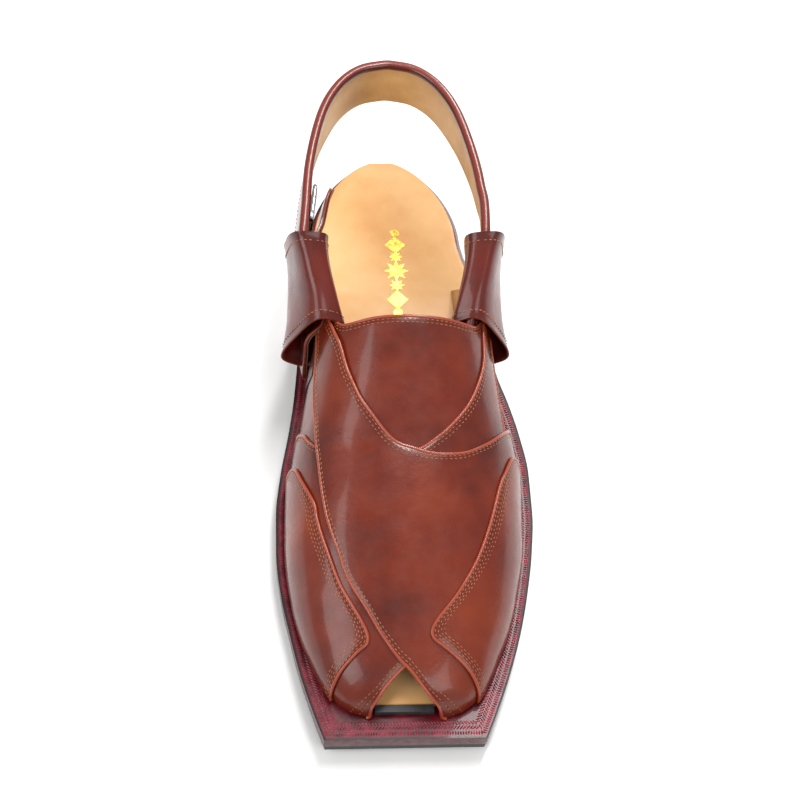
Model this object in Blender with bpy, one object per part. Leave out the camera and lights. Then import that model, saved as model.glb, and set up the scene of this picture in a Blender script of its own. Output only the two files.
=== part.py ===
"""Peshawari chappal, left shoe, toe towards -Y, standing on its sole at z = 0.

Two broad leather straps cross over the vamp and leave an open toe. Their rear ends meet two
sleeves that carry the heel strap, and a tongue-like instep panel lies under both.
"""
import math

import bmesh
import bpy
import numpy as np
from mathutils import Vector
from mathutils.geometry import delaunay_2d_cdt

MM = 0.001

# Driving sizes of the sole, in metres.
SOLE_LENGTH = 300 * MM
SOLE_WIDTH = 116 * MM
RUBBER_THICKNESS = 3.7 * MM
WELT_THICKNESS = 7 * MM
INSOLE_THICKNESS = 2.5 * MM
HEEL_HEIGHT = 12 * MM
TOE_SPRING = 4 * MM
RUBBER_INSET = 0.6 * MM
INSOLE_MARGIN = 0.8 * MM
INSOLE_TOE_TRIM = 4.5 * MM
INSOLE_FLARE = 0.025
GAP = 0.3 * MM

# Driving sizes of the upper.
INSTEP_HEIGHT = 64 * MM
PANEL_WALL = 1.5 * MM
STRAP_STEP = 1.2 * MM
OVERLAY_WALL = 1.4 * MM
OVERLAY_GAP = 0.5 * MM
WING_WALL = 2.2 * MM
SLEEVE_WALL = 2.2 * MM
SLEEVE_TALL = 36 * MM
SLEEVE_WIDE = 16 * MM
SLEEVE_SPREAD = 82 * MM
SLEEVE_CENTRE = 1.2 * MM

# Driving sizes of the heel strap and its fastening.
HEEL_STRAP_WIDTH = 26 * MM
HEEL_STRAP_THICKNESS = 3.6 * MM
HEEL_STRAP_RISE = 53 * MM
HEEL_STRAP_OUTWARD = {-1: (0.8 * MM, 2.6 * MM), 1: (0.0, 0.4 * MM)}
BUCKLE_STRAP_WIDTH = 18 * MM
BUCKLE_STRAP_THICKNESS = 2.4 * MM
BUCKLE_STRAP_INWARD = (2.0 * MM, 4.2 * MM)
BUCKLE_STRAP_CLEARANCE = 0.5 * MM
BUCKLE_WIRE = 2.2 * MM
BUCKLE_LENGTH = 18 * MM
BUCKLE_CLEARANCE = 1.4 * MM
BUCKLE_SETBACK = 3.5 * MM
RAND_HEIGHT = 3 * MM
RAND_DEPTH = 3.4 * MM

# Fineness of the lofts.
PLATE_STATIONS = 44
MESH_STEP = 8 * MM
UPPER_SPREAD = 150 * MM
SLEEVE_SIDES = 20
SLEEVE_RINGS = 7
SLEEVE_SQUARENESS = 3.5

# Sole outline: along = share of the length from the toe, inner and outer = shares of the width.
SOLE_OUTLINE = (
    (0.000, 0.298, 0.302),
    (0.043, 0.334, 0.348),
    (0.107, 0.381, 0.410),
    (0.170, 0.416, 0.460),
    (0.233, 0.447, 0.497),
    (0.300, 0.463, 0.526),
    (0.367, 0.462, 0.541),
    (0.433, 0.443, 0.538),
    (0.500, 0.410, 0.510),
    (0.553, 0.388, 0.474),
    (0.600, 0.375, 0.435),
    (0.667, 0.358, 0.401),
    (0.767, 0.332, 0.355),
    (0.847, 0.309, 0.312),
    (1.000, 0.300, 0.300),
)
HEEL_ROUND_START = 0.847
HEEL_ROUND_POWER = 1.8
HEEL_END = 0.997
HEEL_BREAST = 0.745

# Underside of the rubber: along = share of the length, spring and rise = shares of the toe
# spring and the heel height. The ball's flat spot lies between the two zero rows.
SOLE_LINE = (
    (0.000, 1.00, 0.00),
    (0.083, 0.42, 0.00),
    (0.145, 0.10, 0.00),
    (0.190, 0.00, 0.00),
    (0.385, 0.00, 0.00),
    (0.450, 0.00, 0.11),
    (0.567, 0.00, 0.42),
    (0.667, 0.00, 0.76),
    (0.745, 0.00, 0.95),
    (0.800, 0.00, 1.00),
    (1.000, 0.00, 1.02),
)

# Last under the upper: along = share of the sole length, inner, outer and centre = shares of
# the sole width, crown = share of the instep height above the welt.
LAST = (
    (0.038, 0.130, 0.134, 0.000, 0.000),
    (0.047, 0.190, 0.194, 0.000, 0.125),
    (0.063, 0.248, 0.254, 0.000, 0.196),
    (0.083, 0.286, 0.293, 0.000, 0.255),
    (0.107, 0.317, 0.328, 0.003, 0.312),
    (0.157, 0.365, 0.382, 0.009, 0.408),
    (0.207, 0.395, 0.420, 0.014, 0.489),
    (0.300, 0.418, 0.462, 0.022, 0.623),
    (0.400, 0.410, 0.470, 0.030, 0.757),
    (0.500, 0.367, 0.435, 0.039, 0.900),
    (0.577, 0.336, 0.410, 0.046, 1.000),
    (0.650, 0.328, 0.397, 0.052, 1.075),
)
SECTION_SIDE = 0.86
SECTION_TOP = 0.80
TOE_BLEND_END = 0.117
TOE_RISE = 0.020

# Edges on the last: along = share of the sole length, across = 0 at the inner welt line and
# 1 at the outer one. The over strap runs from the inner ear to the outer side of the toe.
OVER_UPPER_EDGE = (
    (0.608, 0.220), (0.573, 0.260), (0.547, 0.293), (0.507, 0.330), (0.463, 0.380),
    (0.433, 0.423), (0.400, 0.470), (0.387, 0.507), (0.380, 0.547), (0.380, 0.593),
    (0.387, 0.650), (0.407, 0.720), (0.433, 0.797), (0.463, 0.900), (0.480, 1.000),
)
OVER_LOWER_EDGE = (
    (0.608, 0.160), (0.560, 0.165), (0.523, 0.177), (0.480, 0.197), (0.447, 0.222),
    (0.420, 0.235), (0.387, 0.250), (0.350, 0.263), (0.300, 0.285), (0.247, 0.320),
    (0.207, 0.345), (0.167, 0.390), (0.123, 0.440), (0.088, 0.500), (0.060, 0.573),
    (0.047, 0.670), (0.039, 0.820),
)
UNDER_UPPER_EDGE = (
    (0.608, 0.795), (0.547, 0.775), (0.507, 0.735), (0.460, 0.670), (0.420, 0.597),
    (0.403, 0.560), (0.387, 0.520), (0.380, 0.470), (0.382, 0.410), (0.388, 0.340),
    (0.402, 0.270), (0.427, 0.193), (0.447, 0.147), (0.465, 0.080), (0.480, 0.000),
)
UNDER_LOWER_EDGE = (
    (0.608, 0.870), (0.547, 0.865), (0.507, 0.860), (0.473, 0.855), (0.440, 0.840),
    (0.400, 0.780), (0.300, 0.715), (0.207, 0.655), (0.123, 0.560), (0.088, 0.500),
    (0.060, 0.410), (0.047, 0.320), (0.039, 0.170),
)
TOE_APEX = (0.088, 0.500)
PANEL_REAR_EDGE = (
    (0.556, 1.000), (0.560, 0.940), (0.578, 0.890), (0.604, 0.855), (0.604, 0.805),
    (0.584, 0.750), (0.576, 0.690), (0.573, 0.620), (0.572, 0.540), (0.573, 0.470), (0.574, 0.400), (0.576, 0.320),
    (0.584, 0.270), (0.604, 0.225), (0.604, 0.180), (0.578, 0.130), (0.558, 0.060),
    (0.556, 0.000),
)
INNER_OVERLAY = (
    (0.417, 0.000), (0.410, 0.060), (0.400, 0.127), (0.370, 0.178), (0.327, 0.238),
    (0.300, 0.252), (0.247, 0.287), (0.200, 0.320), (0.128, 0.390), (0.107, 0.337),
    (0.083, 0.200), (0.072, 0.100), (0.066, 0.000),
)
OUTER_OVERLAY = (
    (0.423, 1.000), (0.417, 0.930), (0.407, 0.843), (0.373, 0.790), (0.347, 0.760),
    (0.293, 0.723), (0.233, 0.683), (0.183, 0.630), (0.130, 0.563), (0.107, 0.630),
    (0.080, 0.793), (0.068, 0.900), (0.062, 1.000),
)

# Sleeves: along = share of the sole length, up = share of the instep height above the welt
# line at the ball, spread = share of half the sleeve spread, tall and wide = shares of the
# sleeve's size, lean = the top's lean towards the foot and rake = its tilt forward, degrees.
SLEEVE = (
    (0.585, 0.655, 0.915, 1.03, 1.20, 30.0, -4.0),
    (0.630, 0.765, 0.930, 1.00, 1.00, 20.0, 6.0),
    (0.677, 0.870, 0.960, 0.97, 0.97, 12.0, 14.0),
    (0.723, 0.975, 0.990, 0.97, 1.14, 6.0, 22.0),
)

# Wings: foot and head along = shares of the sole length, foot and head out = shares of half
# the sleeve spread, head up = share of the instep height above the insole.
WING = (
    (0.545, 0.965, 0.545, 0.885, 0.50),
    (0.610, 0.880, 0.590, 0.880, 0.50),
    (0.650, 0.835, 0.620, 0.905, 0.50),
    (0.700, 0.795, 0.650, 0.920, 0.53),
    (0.742, 0.770, 0.672, 0.935, 0.56),
)
WING_ROOT = 0.12

# Heel strap behind the sleeves: along = share of the sole length, out = share of half the
# sleeve spread, both for the middle of the strap, up to its back.
HEEL_LOOP = (
    (0.740, 1.037), (0.785, 1.000), (0.830, 0.956), (0.877, 0.880), (0.923, 0.776),
    (0.970, 0.610), (1.000, 0.420), (1.016, 0.200), (1.020, 0.000),
)
LEFT_END = 0.42
RIGHT_END = 0.12

# Buckle strap from the welt to the sleeve's mouth: along = share of the sole length, up =
# share of the sleeve mouth's height above the welt, out = share of half the sleeve spread.
BUCKLE_STRAP_RISE = (
    (0.618, 0.09, 1.030, 90.0),
    (0.612, 0.27, 1.040, 84.0),
    (0.607, 0.56, 1.030, 70.0),
    (0.613, 0.84, 0.990, 45.0),
)
# Free tab behind the rear mouth: along and out as above, drop = share of the strap's width.
TAB = (
    (0.748, 0.825, 0.10),
    (0.785, 0.760, 0.05),
    (0.806, 0.690, 0.00),
)

COLOURS = {
    "rubber": ((0.022, 0.022, 0.024), 0.70, 0.0),
    "welt": ((0.130, 0.012, 0.020), 0.45, 0.0),
    "tan": ((0.820, 0.520, 0.260), 0.60, 0.0),
    "chestnut": ((0.230, 0.030, 0.008), 0.28, 0.0),
    "maroon": ((0.110, 0.016, 0.012), 0.30, 0.0),
    "steel": ((0.620, 0.620, 0.630), 0.25, 1.0),
}


def fresh_scene():
    """Remove every object and make the two collections."""
    for item in list(bpy.data.objects):
        bpy.data.objects.remove(item, do_unlink=True)
    made = []
    for name in ("peshawari_chappal", "cutters"):
        folder = bpy.data.collections.new(name)
        bpy.context.scene.collection.children.link(folder)
        made.append(folder)
    return made


def finish(name, colour):
    """A plain Principled material for one piece."""
    base, rough, metal = COLOURS[colour]
    material = bpy.data.materials.new(name + "_finish")
    material.use_nodes = True
    shader = material.node_tree.nodes["Principled BSDF"]
    shader.inputs["Base Color"].default_value = (*base, 1.0)
    shader.inputs["Roughness"].default_value = rough
    shader.inputs["Metallic"].default_value = metal
    return material


def curve(rows, at):
    """Smooth value at a place in a table whose first column rises, without overshoot."""
    rows = np.array(rows, float)
    x, y = rows[:, 0], rows[:, 1]
    slope = np.diff(y) / np.diff(x)
    tangent = np.concatenate([slope[:1], np.zeros(len(x) - 2), slope[-1:]])
    for i in range(1, len(x) - 1):
        if slope[i - 1] * slope[i] > 0:
            tangent[i] = 2 * slope[i - 1] * slope[i] / (slope[i - 1] + slope[i])
    at = min(max(at, x[0]), x[-1])
    i = min(int(np.searchsorted(x, at, side="right")) - 1, len(x) - 2)
    span = x[i + 1] - x[i]
    s = (at - x[i]) / span
    return float(
        (2 * s**3 - 3 * s**2 + 1) * y[i] + (s**3 - 2 * s**2 + s) * span * tangent[i]
        + (3 * s**2 - 2 * s**3) * y[i + 1] + (s**3 - s**2) * span * tangent[i + 1]
    )


def column(table, number, at):
    """One column of a table, read smoothly at a place along it."""
    return curve([(row[0], row[number]) for row in table], at)


def along(share):
    """World Y of a share of the sole's length, counted from the toe."""
    return (share - 0.5) * SOLE_LENGTH


def share_of(y):
    """Share of the sole's length at a world Y."""
    return y / SOLE_LENGTH + 0.5


def heel_rounding(share):
    """How much of its width the sole keeps where the heel rounds off."""
    if share <= HEEL_ROUND_START:
        return 1.0
    s = (share - HEEL_ROUND_START) / (1 - HEEL_ROUND_START)
    return (1 - s**HEEL_ROUND_POWER) ** (1 / HEEL_ROUND_POWER)


def sole_edge(share, side):
    """World X of the sole's edge, side -1 inner and +1 outer."""
    number = 1 if side < 0 else 2
    return side * column(SOLE_OUTLINE, number, share) * SOLE_WIDTH * heel_rounding(share)


def rubber_bottom(share):
    """Height of the walking surface: toe spring, flat ball, rise to the heel."""
    spring = column(SOLE_LINE, 1, share) * TOE_SPRING
    return spring + column(SOLE_LINE, 2, share) * HEEL_HEIGHT


def welt_top(share):
    """Height of the welt's upper face."""
    return rubber_bottom(share) + RUBBER_THICKNESS + GAP + WELT_THICKNESS


def insole_top(share):
    """Height of the insole's upper face."""
    return welt_top(share) + GAP + INSOLE_THICKNESS


def last_point(share, across, off):
    """Point of the last's skin, grown outward by off; across runs 0 to 1, inner to outer."""
    first, last_row = LAST[0][0], LAST[-1][0]
    share = min(max(share, first), last_row)
    toe = min(max((TOE_BLEND_END - share) / (TOE_BLEND_END - first), 0.0), 1.0)
    rise = min((share - first) / TOE_RISE, 1.0)
    inner = column(LAST, 1, share) * SOLE_WIDTH + off
    outer = column(LAST, 2, share) * SOLE_WIDTH + off
    centre = column(LAST, 3, share) * SOLE_WIDTH
    crown = column(LAST, 4, share) * INSTEP_HEIGHT + off * rise
    turn = math.pi * (1 - across)
    cosine, sine = math.cos(turn), abs(math.sin(turn))
    reach = -(inner + centre) if cosine < 0 else outer - centre
    x = centre + reach * abs(cosine) ** SECTION_SIDE
    y = along(share) - off * toe
    z = welt_top(share_of(y)) + GAP + crown * sine**SECTION_TOP
    return Vector((x, y, z))


def add_object(name, mesh, colour, folder):
    """Link a mesh as a named piece with its finish, shaded smooth with sharp edges."""
    piece = bpy.data.objects.new(name, mesh)
    folder.objects.link(piece)
    mesh.materials.append(finish(name, colour))
    mesh.shade_smooth()
    mesh.set_sharp_from_angle(angle=math.radians(35))
    return piece


def closed_mesh(name, points, faces):
    """A mesh from points and faces, with its doubles merged and its faces turned outward."""
    work = bmesh.new()
    corners = [work.verts.new(point) for point in points]
    for face in faces:
        work.faces.new([corners[i] for i in face])
    bmesh.ops.remove_doubles(work, verts=work.verts, dist=0.00001)
    bmesh.ops.triangulate(work, faces=work.faces)
    bmesh.ops.recalc_face_normals(work, faces=work.faces)
    mesh = bpy.data.meshes.new(name)
    work.to_mesh(mesh)
    work.free()
    return mesh


def loft(name, rings):
    """A closed body through rings of equally many points, with flat ends."""
    size = len(rings[0])
    points = [point for ring in rings for point in ring]
    faces = [tuple(range(size)), tuple(range(len(points) - size, len(points)))]
    for r in range(len(rings) - 1):
        for i in range(size):
            j = (i + 1) % size
            faces.append((r * size + i, r * size + j, (r + 1) * size + j, (r + 1) * size + i))
    return closed_mesh(name, points, faces)


def plate(name, start, end, edge, bottom, top, colour, folder):
    """A sole layer: one four-cornered ring across the shoe at each station."""
    rings = []
    for i in range(PLATE_STATIONS):
        s = i / (PLATE_STATIONS - 1)
        share = start + (end - start) * (1 - math.cos(s * math.pi)) / 2
        left, right = edge(share, -1), edge(share, 1)
        y, low, high = along(share), bottom(share), top(share)
        rings.append([(left, y, low), (right, y, low), (right, y, high), (left, y, high)])
    return add_object(name, loft(name, rings), colour, folder)


def inset_edge(amount):
    """The sole's edge moved inward."""
    return lambda share, side: sole_edge(share, side) - side * amount


def insole_edge(share, side):
    """Insole edge: inside the upper in front, out to the sole's edge behind the ears."""
    number = 1 if side < 0 else 2
    toe = min(max((TOE_BLEND_END - share) / (TOE_BLEND_END - LAST[0][0]), 0.0), 1.0)
    inside = column(LAST, number, share) * SOLE_WIDTH - INSOLE_MARGIN - INSOLE_TOE_TRIM * toe
    outside = abs(sole_edge(share, side)) - INSOLE_MARGIN
    front = PANEL_REAR_EDGE[0][0]
    if side < 0:
        front = BUCKLE_STRAP_RISE[0][0] + BUCKLE_STRAP_WIDTH / 2 / SOLE_LENGTH
    blend = min(max((share - front) / INSOLE_FLARE - 0.5, 0.0), 1.0)
    return side * (inside + (outside - inside) * blend)


def make_sole(folder):
    """Rubber outsole, heel lift, welted midsole and insole."""
    rubber_top = lambda share: rubber_bottom(share) + RUBBER_THICKNESS
    plate("outsole", 0.001, HEEL_END, inset_edge(RUBBER_INSET), rubber_bottom, rubber_top,
          "rubber", folder)
    plate("heel_lift", HEEL_BREAST, HEEL_END, inset_edge(RUBBER_INSET * 2), lambda share: 0.0,
          lambda share: rubber_bottom(share) - GAP, "rubber", folder)
    plate("midsole_welt", 0.0, HEEL_END, sole_edge, lambda share: rubber_top(share) + GAP,
          welt_top, "welt", folder)
    front = LAST[0][0] + (GAP + RAND_DEPTH) / SOLE_LENGTH
    plate("insole", front, HEEL_END - 0.003, insole_edge,
          lambda share: welt_top(share) + GAP, insole_top, "tan", folder)
    corner = last_point(LAST[0][0], OVER_LOWER_EDGE[-1][1], 0.0).x - INSOLE_MARGIN
    plate("toe_rand", LAST[0][0], LAST[0][0] + RAND_DEPTH / SOLE_LENGTH,
          lambda share, side: side * corner, lambda share: welt_top(share) + GAP,
          lambda share: welt_top(share) + GAP + RAND_HEIGHT, "rubber", folder)


def flat_point(row):
    """A place on the last laid flat, in metres along and across."""
    return Vector((row[0] * SOLE_LENGTH, row[1] * UPPER_SPREAD))


def smooth_line(rows, closed_ends=True):
    """A table of places drawn through by short even steps (Catmull-Rom)."""
    points = [flat_point(row) for row in rows]
    out = [points[0]]
    for i in range(len(points) - 1):
        a = points[max(i - 1, 0)]
        b, c = points[i], points[i + 1]
        d = points[min(i + 2, len(points) - 1)]
        count = max(1, round((c - b).length / MESH_STEP))
        for k in range(1, count + 1):
            s = k / count
            out.append(0.5 * ((2 * b) + (c - a) * s + (2 * a - 5 * b + 4 * c - d) * s**2
                              + (3 * b - a - 3 * c + d) * s**3))
    return out


def straight_line(start, end):
    """Even steps between two places."""
    a, b = flat_point(start), flat_point(end)
    count = max(1, round((b - a).length / MESH_STEP))
    return [a + (b - a) * (k / count) for k in range(count + 1)]


def inside(point, outline):
    """Whether a flat place lies inside a closed outline."""
    hit = False
    for i, a in enumerate(outline):
        b = outline[i - 1]
        if (a.y > point.y) != (b.y > point.y):
            if point.x < (b.x - a.x) * (point.y - a.y) / (b.y - a.y) + a.x:
                hit = not hit
    return hit


def line_distance(point, lines):
    """Shortest distance from a flat place to any point of the lines."""
    return min((point - other).length for line in lines for other in line)


def fold_leather(name, outline, lines, levels):
    """A wall on the last over a flat outline, stepped where its thickness changes.

    lines are drawn edges inside the outline; levels gives a flat place its inner and outer
    offset from the last.
    """
    border = outline + outline[:1]
    drawn = [border] + lines
    points, edges = [], []
    for line in drawn:
        for k, point in enumerate(line):
            points.append(point)
            if k:
                edges.append((len(points) - 2, len(points) - 1))
    low = Vector((min(p.x for p in outline), min(p.y for p in outline)))
    high = Vector((max(p.x for p in outline), max(p.y for p in outline)))
    across, deep = round((high.x - low.x) / MESH_STEP), round((high.y - low.y) / MESH_STEP)
    for i in range(1, across):
        for j in range(1, deep):
            spot = Vector((low.x + (high.x - low.x) * i / across,
                           low.y + (high.y - low.y) * j / deep))
            if inside(spot, outline) and line_distance(spot, drawn) > MESH_STEP * 0.5:
                points.append(spot)
    flat, _, found, *_ = delaunay_2d_cdt(points, edges, [], 0, 1e-6)
    triangles = []
    for face in found:
        middle = sum((flat[i] for i in face), Vector((0, 0))) / 3
        if inside(middle, outline):
            triangles.append((tuple(face), levels(middle)))
    return stepped_wall(name, flat, triangles)


def stepped_wall(name, flat, triangles):
    """Close the wall: inner and outer skins, rim and the upright faces of each step."""
    heights = {}
    sides = {}
    for face, (low, high) in triangles:
        for k in range(3):
            a, b = face[k], face[(k + 1) % 3]
            heights.setdefault(a, set()).update((low, high))
            sides.setdefault((min(a, b), max(a, b)), []).append((low, high))
    index, points, faces = {}, [], []

    def corner(i, off):
        if (i, off) not in index:
            share = flat[i].x / SOLE_LENGTH
            across = min(max(flat[i].y / UPPER_SPREAD, 0.0), 1.0)
            index[(i, off)] = len(points)
            points.append(last_point(share, across, off))
        return index[(i, off)]

    def upright(a, b, low, high):
        rise = [corner(a, h) for h in sorted(heights[a]) if low <= h <= high]
        fall = [corner(b, h) for h in sorted(heights[b], reverse=True) if low <= h <= high]
        faces.append(rise + fall)

    for face, (low, high) in triangles:
        faces.append([corner(i, high) for i in face])
        faces.append([corner(i, low) for i in reversed(face)])
    for (a, b), spans in sides.items():
        if len(spans) == 1:
            upright(a, b, *spans[0])
        elif spans[0] != spans[1]:
            upright(a, b, *sorted((spans[0][1], spans[1][1])))
    work = bmesh.new()
    corners = [work.verts.new(point) for point in points]
    for face in faces:
        work.faces.new([corners[i] for i in face])
    bmesh.ops.triangulate(work, faces=work.faces)
    bmesh.ops.recalc_face_normals(work, faces=work.faces)
    mesh = bpy.data.meshes.new(name)
    work.to_mesh(mesh)
    work.free()
    return mesh


def make_vamp(folder):
    """The crossing straps over the instep panel as one stepped wall."""
    toe = LAST[0][0]
    over_upper, over_lower = smooth_line(OVER_UPPER_EDGE), smooth_line(OVER_LOWER_EDGE)
    under_upper, under_lower = smooth_line(UNDER_UPPER_EDGE), smooth_line(UNDER_LOWER_EDGE)
    rear = smooth_line(PANEL_REAR_EDGE)
    apex = OVER_LOWER_EDGE.index(TOE_APEX)
    right_gap = smooth_line(OVER_LOWER_EDGE[apex:])
    left_gap = smooth_line(UNDER_LOWER_EDGE[UNDER_LOWER_EDGE.index(TOE_APEX):])
    right_toe = straight_line((toe, OVER_LOWER_EDGE[-1][1] + 0.01), (toe, 1.0))
    left_toe = straight_line((toe, 0.0), (toe, UNDER_LOWER_EDGE[-1][1] - 0.01))
    inner_side = straight_line((PANEL_REAR_EDGE[-1][0], 0.0), (toe, 0.0))
    outer_side = straight_line((toe, 1.0), (PANEL_REAR_EDGE[0][0], 1.0))
    outline = rear + inner_side[1:] + left_toe[1:] + left_gap[::-1] + right_gap[1:]
    outline += right_toe + outer_side[1:-1]
    over = over_upper + [flat_point((toe, 1.0)), flat_point((toe, 0.7))] + over_lower[::-1]
    under = under_upper + [flat_point((toe, 0.0)), flat_point((toe, 0.3))] + under_lower[::-1]

    def levels(spot):
        if inside(spot, over):
            return 0.0, PANEL_WALL + 2 * STRAP_STEP
        if inside(spot, under):
            return 0.0, PANEL_WALL + STRAP_STEP
        return 0.0, PANEL_WALL

    lines = [over_upper, over_lower, under_upper, under_lower]
    mesh = fold_leather("upper", outline, lines, levels)
    return add_object("upper", mesh, "chestnut", folder)


def make_overlays(folder):
    """The two side overlays, laid over the straps and down to the welt."""
    strap_top = {-1: PANEL_WALL + STRAP_STEP, 1: PANEL_WALL + 2 * STRAP_STEP}
    for name, table, side in (("side_overlay_inner", INNER_OVERLAY, -1),
                              ("side_overlay_outer", OUTER_OVERLAY, 1)):
        low = strap_top[side] + OVERLAY_GAP
        outline = smooth_line(table) + straight_line(table[-1], table[0])[1:-1]
        mesh = fold_leather(name, outline, [], lambda spot: (low, low + OVERLAY_WALL))
        add_object(name, mesh, "chestnut", folder)


def sleeve_frame(s, side):
    """Middle, tall and wide directions and half sizes of a sleeve at s, 0 front to 1 rear."""
    first, final = SLEEVE[0][0], SLEEVE[-1][0]
    share = first + (final - first) * s
    ball = rubber_bottom(0.3) + RUBBER_THICKNESS + GAP + WELT_THICKNESS
    out = column(SLEEVE, 2, share) * SLEEVE_SPREAD / 2
    middle = Vector((SLEEVE_CENTRE + side * out, along(share),
                     ball + column(SLEEVE, 1, share) * INSTEP_HEIGHT))
    lean, rake = (math.radians(column(SLEEVE, n, share)) for n in (5, 6))
    tall = Vector((-side * math.sin(lean), -math.sin(rake), math.cos(lean))).normalized()
    wide = Vector((side * math.cos(lean), 0.0, math.sin(lean))).normalized()
    return (middle, tall, wide, column(SLEEVE, 3, share) * SLEEVE_TALL / 2,
            column(SLEEVE, 4, share) * SLEEVE_WIDE / 2)


def sleeve_rings(side, shrink, reach):
    """Oval rings of a sleeve, drawn in by shrink and run past both mouths by reach."""
    rings = []
    for r in range(SLEEVE_RINGS):
        s = r / (SLEEVE_RINGS - 1)
        middle, tall, wide, half_tall, half_wide = sleeve_frame(s, side)
        if reach and r in (0, SLEEVE_RINGS - 1):
            step = sleeve_frame(0.02, side)[0] - sleeve_frame(0.0, side)[0]
            middle = middle + step.normalized() * (reach if r else -reach)
        ring = []
        for k in range(SLEEVE_SIDES):
            turn = 2 * math.pi * k / SLEEVE_SIDES
            rise, reach_out = (math.copysign(abs(part) ** (2 / SLEEVE_SQUARENESS), part)
                               for part in (math.cos(turn), math.sin(turn)))
            ring.append(middle + tall * (half_tall - shrink) * rise
                        + wide * (half_wide - shrink) * reach_out)
        rings.append(ring)
    return rings


def join_or_cut(piece, tool, operation):
    """Apply one exact Boolean to a piece and remove the tool."""
    modifier = piece.modifiers.new(tool.name, "BOOLEAN")
    modifier.operation = operation
    modifier.solver = "EXACT"
    modifier.object = tool
    bpy.context.view_layer.update()
    shape = piece.evaluated_get(bpy.context.evaluated_depsgraph_get())
    mesh = bpy.data.meshes.new_from_object(shape)
    piece.modifiers.clear()
    piece.data = mesh
    bpy.data.objects.remove(tool, do_unlink=True)


def make_wing(side, folder):
    """The lining wing that rises from the insole's edge to the sleeve."""
    rings = []
    half = SLEEVE_SPREAD / 2
    root = [last_point(WING[0][0], 0.5 + side * (0.5 - across), PANEL_WALL / 2)
            for across in (0.0, WING_ROOT)]
    root[0].z = insole_top(WING[0][0]) + GAP
    for i, (foot_at, foot_out, head_at, head_out, head_up) in enumerate(WING):
        floor = insole_top(foot_at) + GAP
        foot = Vector((SLEEVE_CENTRE + side * foot_out * half, along(foot_at), floor))
        head = Vector((SLEEVE_CENTRE + side * head_out * half, along(head_at),
                       floor + head_up * INSTEP_HEIGHT))
        if i == 0:
            foot, head = root
        middle = (foot + head) / 2 + Vector((side * 1.0 * MM, 0, 0))
        thick = Vector((WING_WALL / 2, 0, 0))
        rings.append([foot - thick, middle - thick, head - thick,
                      head + thick, middle + thick, foot + thick])
    return add_object("wing", loft("wing", rings), "maroon", folder)


def make_upper(folder):
    """Vamp, sleeves and wings joined, with the sleeves' bores open from end to end."""
    upper = make_vamp(folder)
    for side in (-1, 1):
        body = add_object("sleeve", loft("sleeve", sleeve_rings(side, 0.0, 0.0)), "maroon", folder)
        join_or_cut(upper, make_wing(side, folder), "UNION")
        join_or_cut(upper, body, "UNION")
    for side in (-1, 1):
        rings = sleeve_rings(side, SLEEVE_WALL, 6 * MM)
        bore = add_object("bore", loft("bore", rings), "maroon", folder)
        join_or_cut(upper, bore, "DIFFERENCE")
    route = buckle_strap_path(BUCKLE_STRAP_CLEARANCE)[:len(BUCKLE_STRAP_RISE) + 2]
    slot = ribbon("slot", route, "maroon", folder)
    join_or_cut(upper, slot, "DIFFERENCE")
    return upper


def ribbon(name, path, colour, folder):
    """A strap through places given as middle, width direction, half width and half thickness."""
    rings = []
    for i, (middle, wide, half_wide, half_thick) in enumerate(path):
        ahead = path[min(i + 1, len(path) - 1)][0] - path[max(i - 1, 0)][0]
        wide = (wide - ahead * (wide.dot(ahead) / ahead.length_squared)).normalized()
        thick = ahead.normalized().cross(wide)
        soft = half_thick * 0.8
        corners = ((-1, -1, soft), (-1, 1, soft), (1, 1, soft), (1, -1, soft))
        ring = []
        for u, v, trim in corners:
            a = middle + wide * u * half_wide + thick * v * (half_thick - trim * 0.5)
            b = middle + wide * u * (half_wide - trim * 0.5) + thick * v * half_thick
            ring += [b, a] if u * v > 0 else [a, b]
        rings.append(ring)
    return add_object(name, loft(name, rings), colour, folder)


def heel_middle(share, side):
    """Middle of the heel strap behind the sleeves."""
    out = column(HEEL_LOOP, 1, share) * SLEEVE_SPREAD / 2
    start = sleeve_frame(1.0, side)[0].z
    back = insole_top(0.99) + HEEL_STRAP_RISE
    first, final = SLEEVE[-1][0], HEEL_LOOP[-1][0]
    lift = math.sin(min(max((share - first) / (final - first), 0.0), 1.0) * math.pi / 2)
    x = SLEEVE_CENTRE * (1 - lift) + side * out
    return Vector((x, along(share), start + (back - start) * lift))


def make_heel_strap(folder):
    """The heel strap: out of one sleeve, round the heel and into the other."""
    half_thick = HEEL_STRAP_THICKNESS / 2
    half_wide = HEEL_STRAP_WIDTH / 2
    path = []
    for side, end in ((-1, LEFT_END), (1, RIGHT_END)):
        arm = []
        for k in range(8):
            s = end + (1 - end) * k / 7
            middle, tall, wide, _, _ = sleeve_frame(s, side)
            near, far = HEEL_STRAP_OUTWARD[side]
            outward = near + (far - near) * s
            arm.append((middle + wide * outward, tall, half_wide, half_thick))
        for k in range(14):
            turn = (k + 1) / 15
            share = SLEEVE[-1][0] + 0.02
            share += (HEEL_LOOP[-1][0] - share) * math.sin(turn * math.pi / 2)
            tall = sleeve_frame(1.0, side)[1].lerp(Vector((0, 0, 1)), min(turn * 2, 1.0))
            arm.append((heel_middle(share, side), tall.normalized(), half_wide, half_thick))
        if side < 0:
            path = arm + [(heel_middle(HEEL_LOOP[-1][0], 1), Vector((0, 0, 1)),
                           half_wide, half_thick)]
        else:
            path += arm[::-1]
    return ribbon("heel_strap", path, "maroon", folder)


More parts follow.
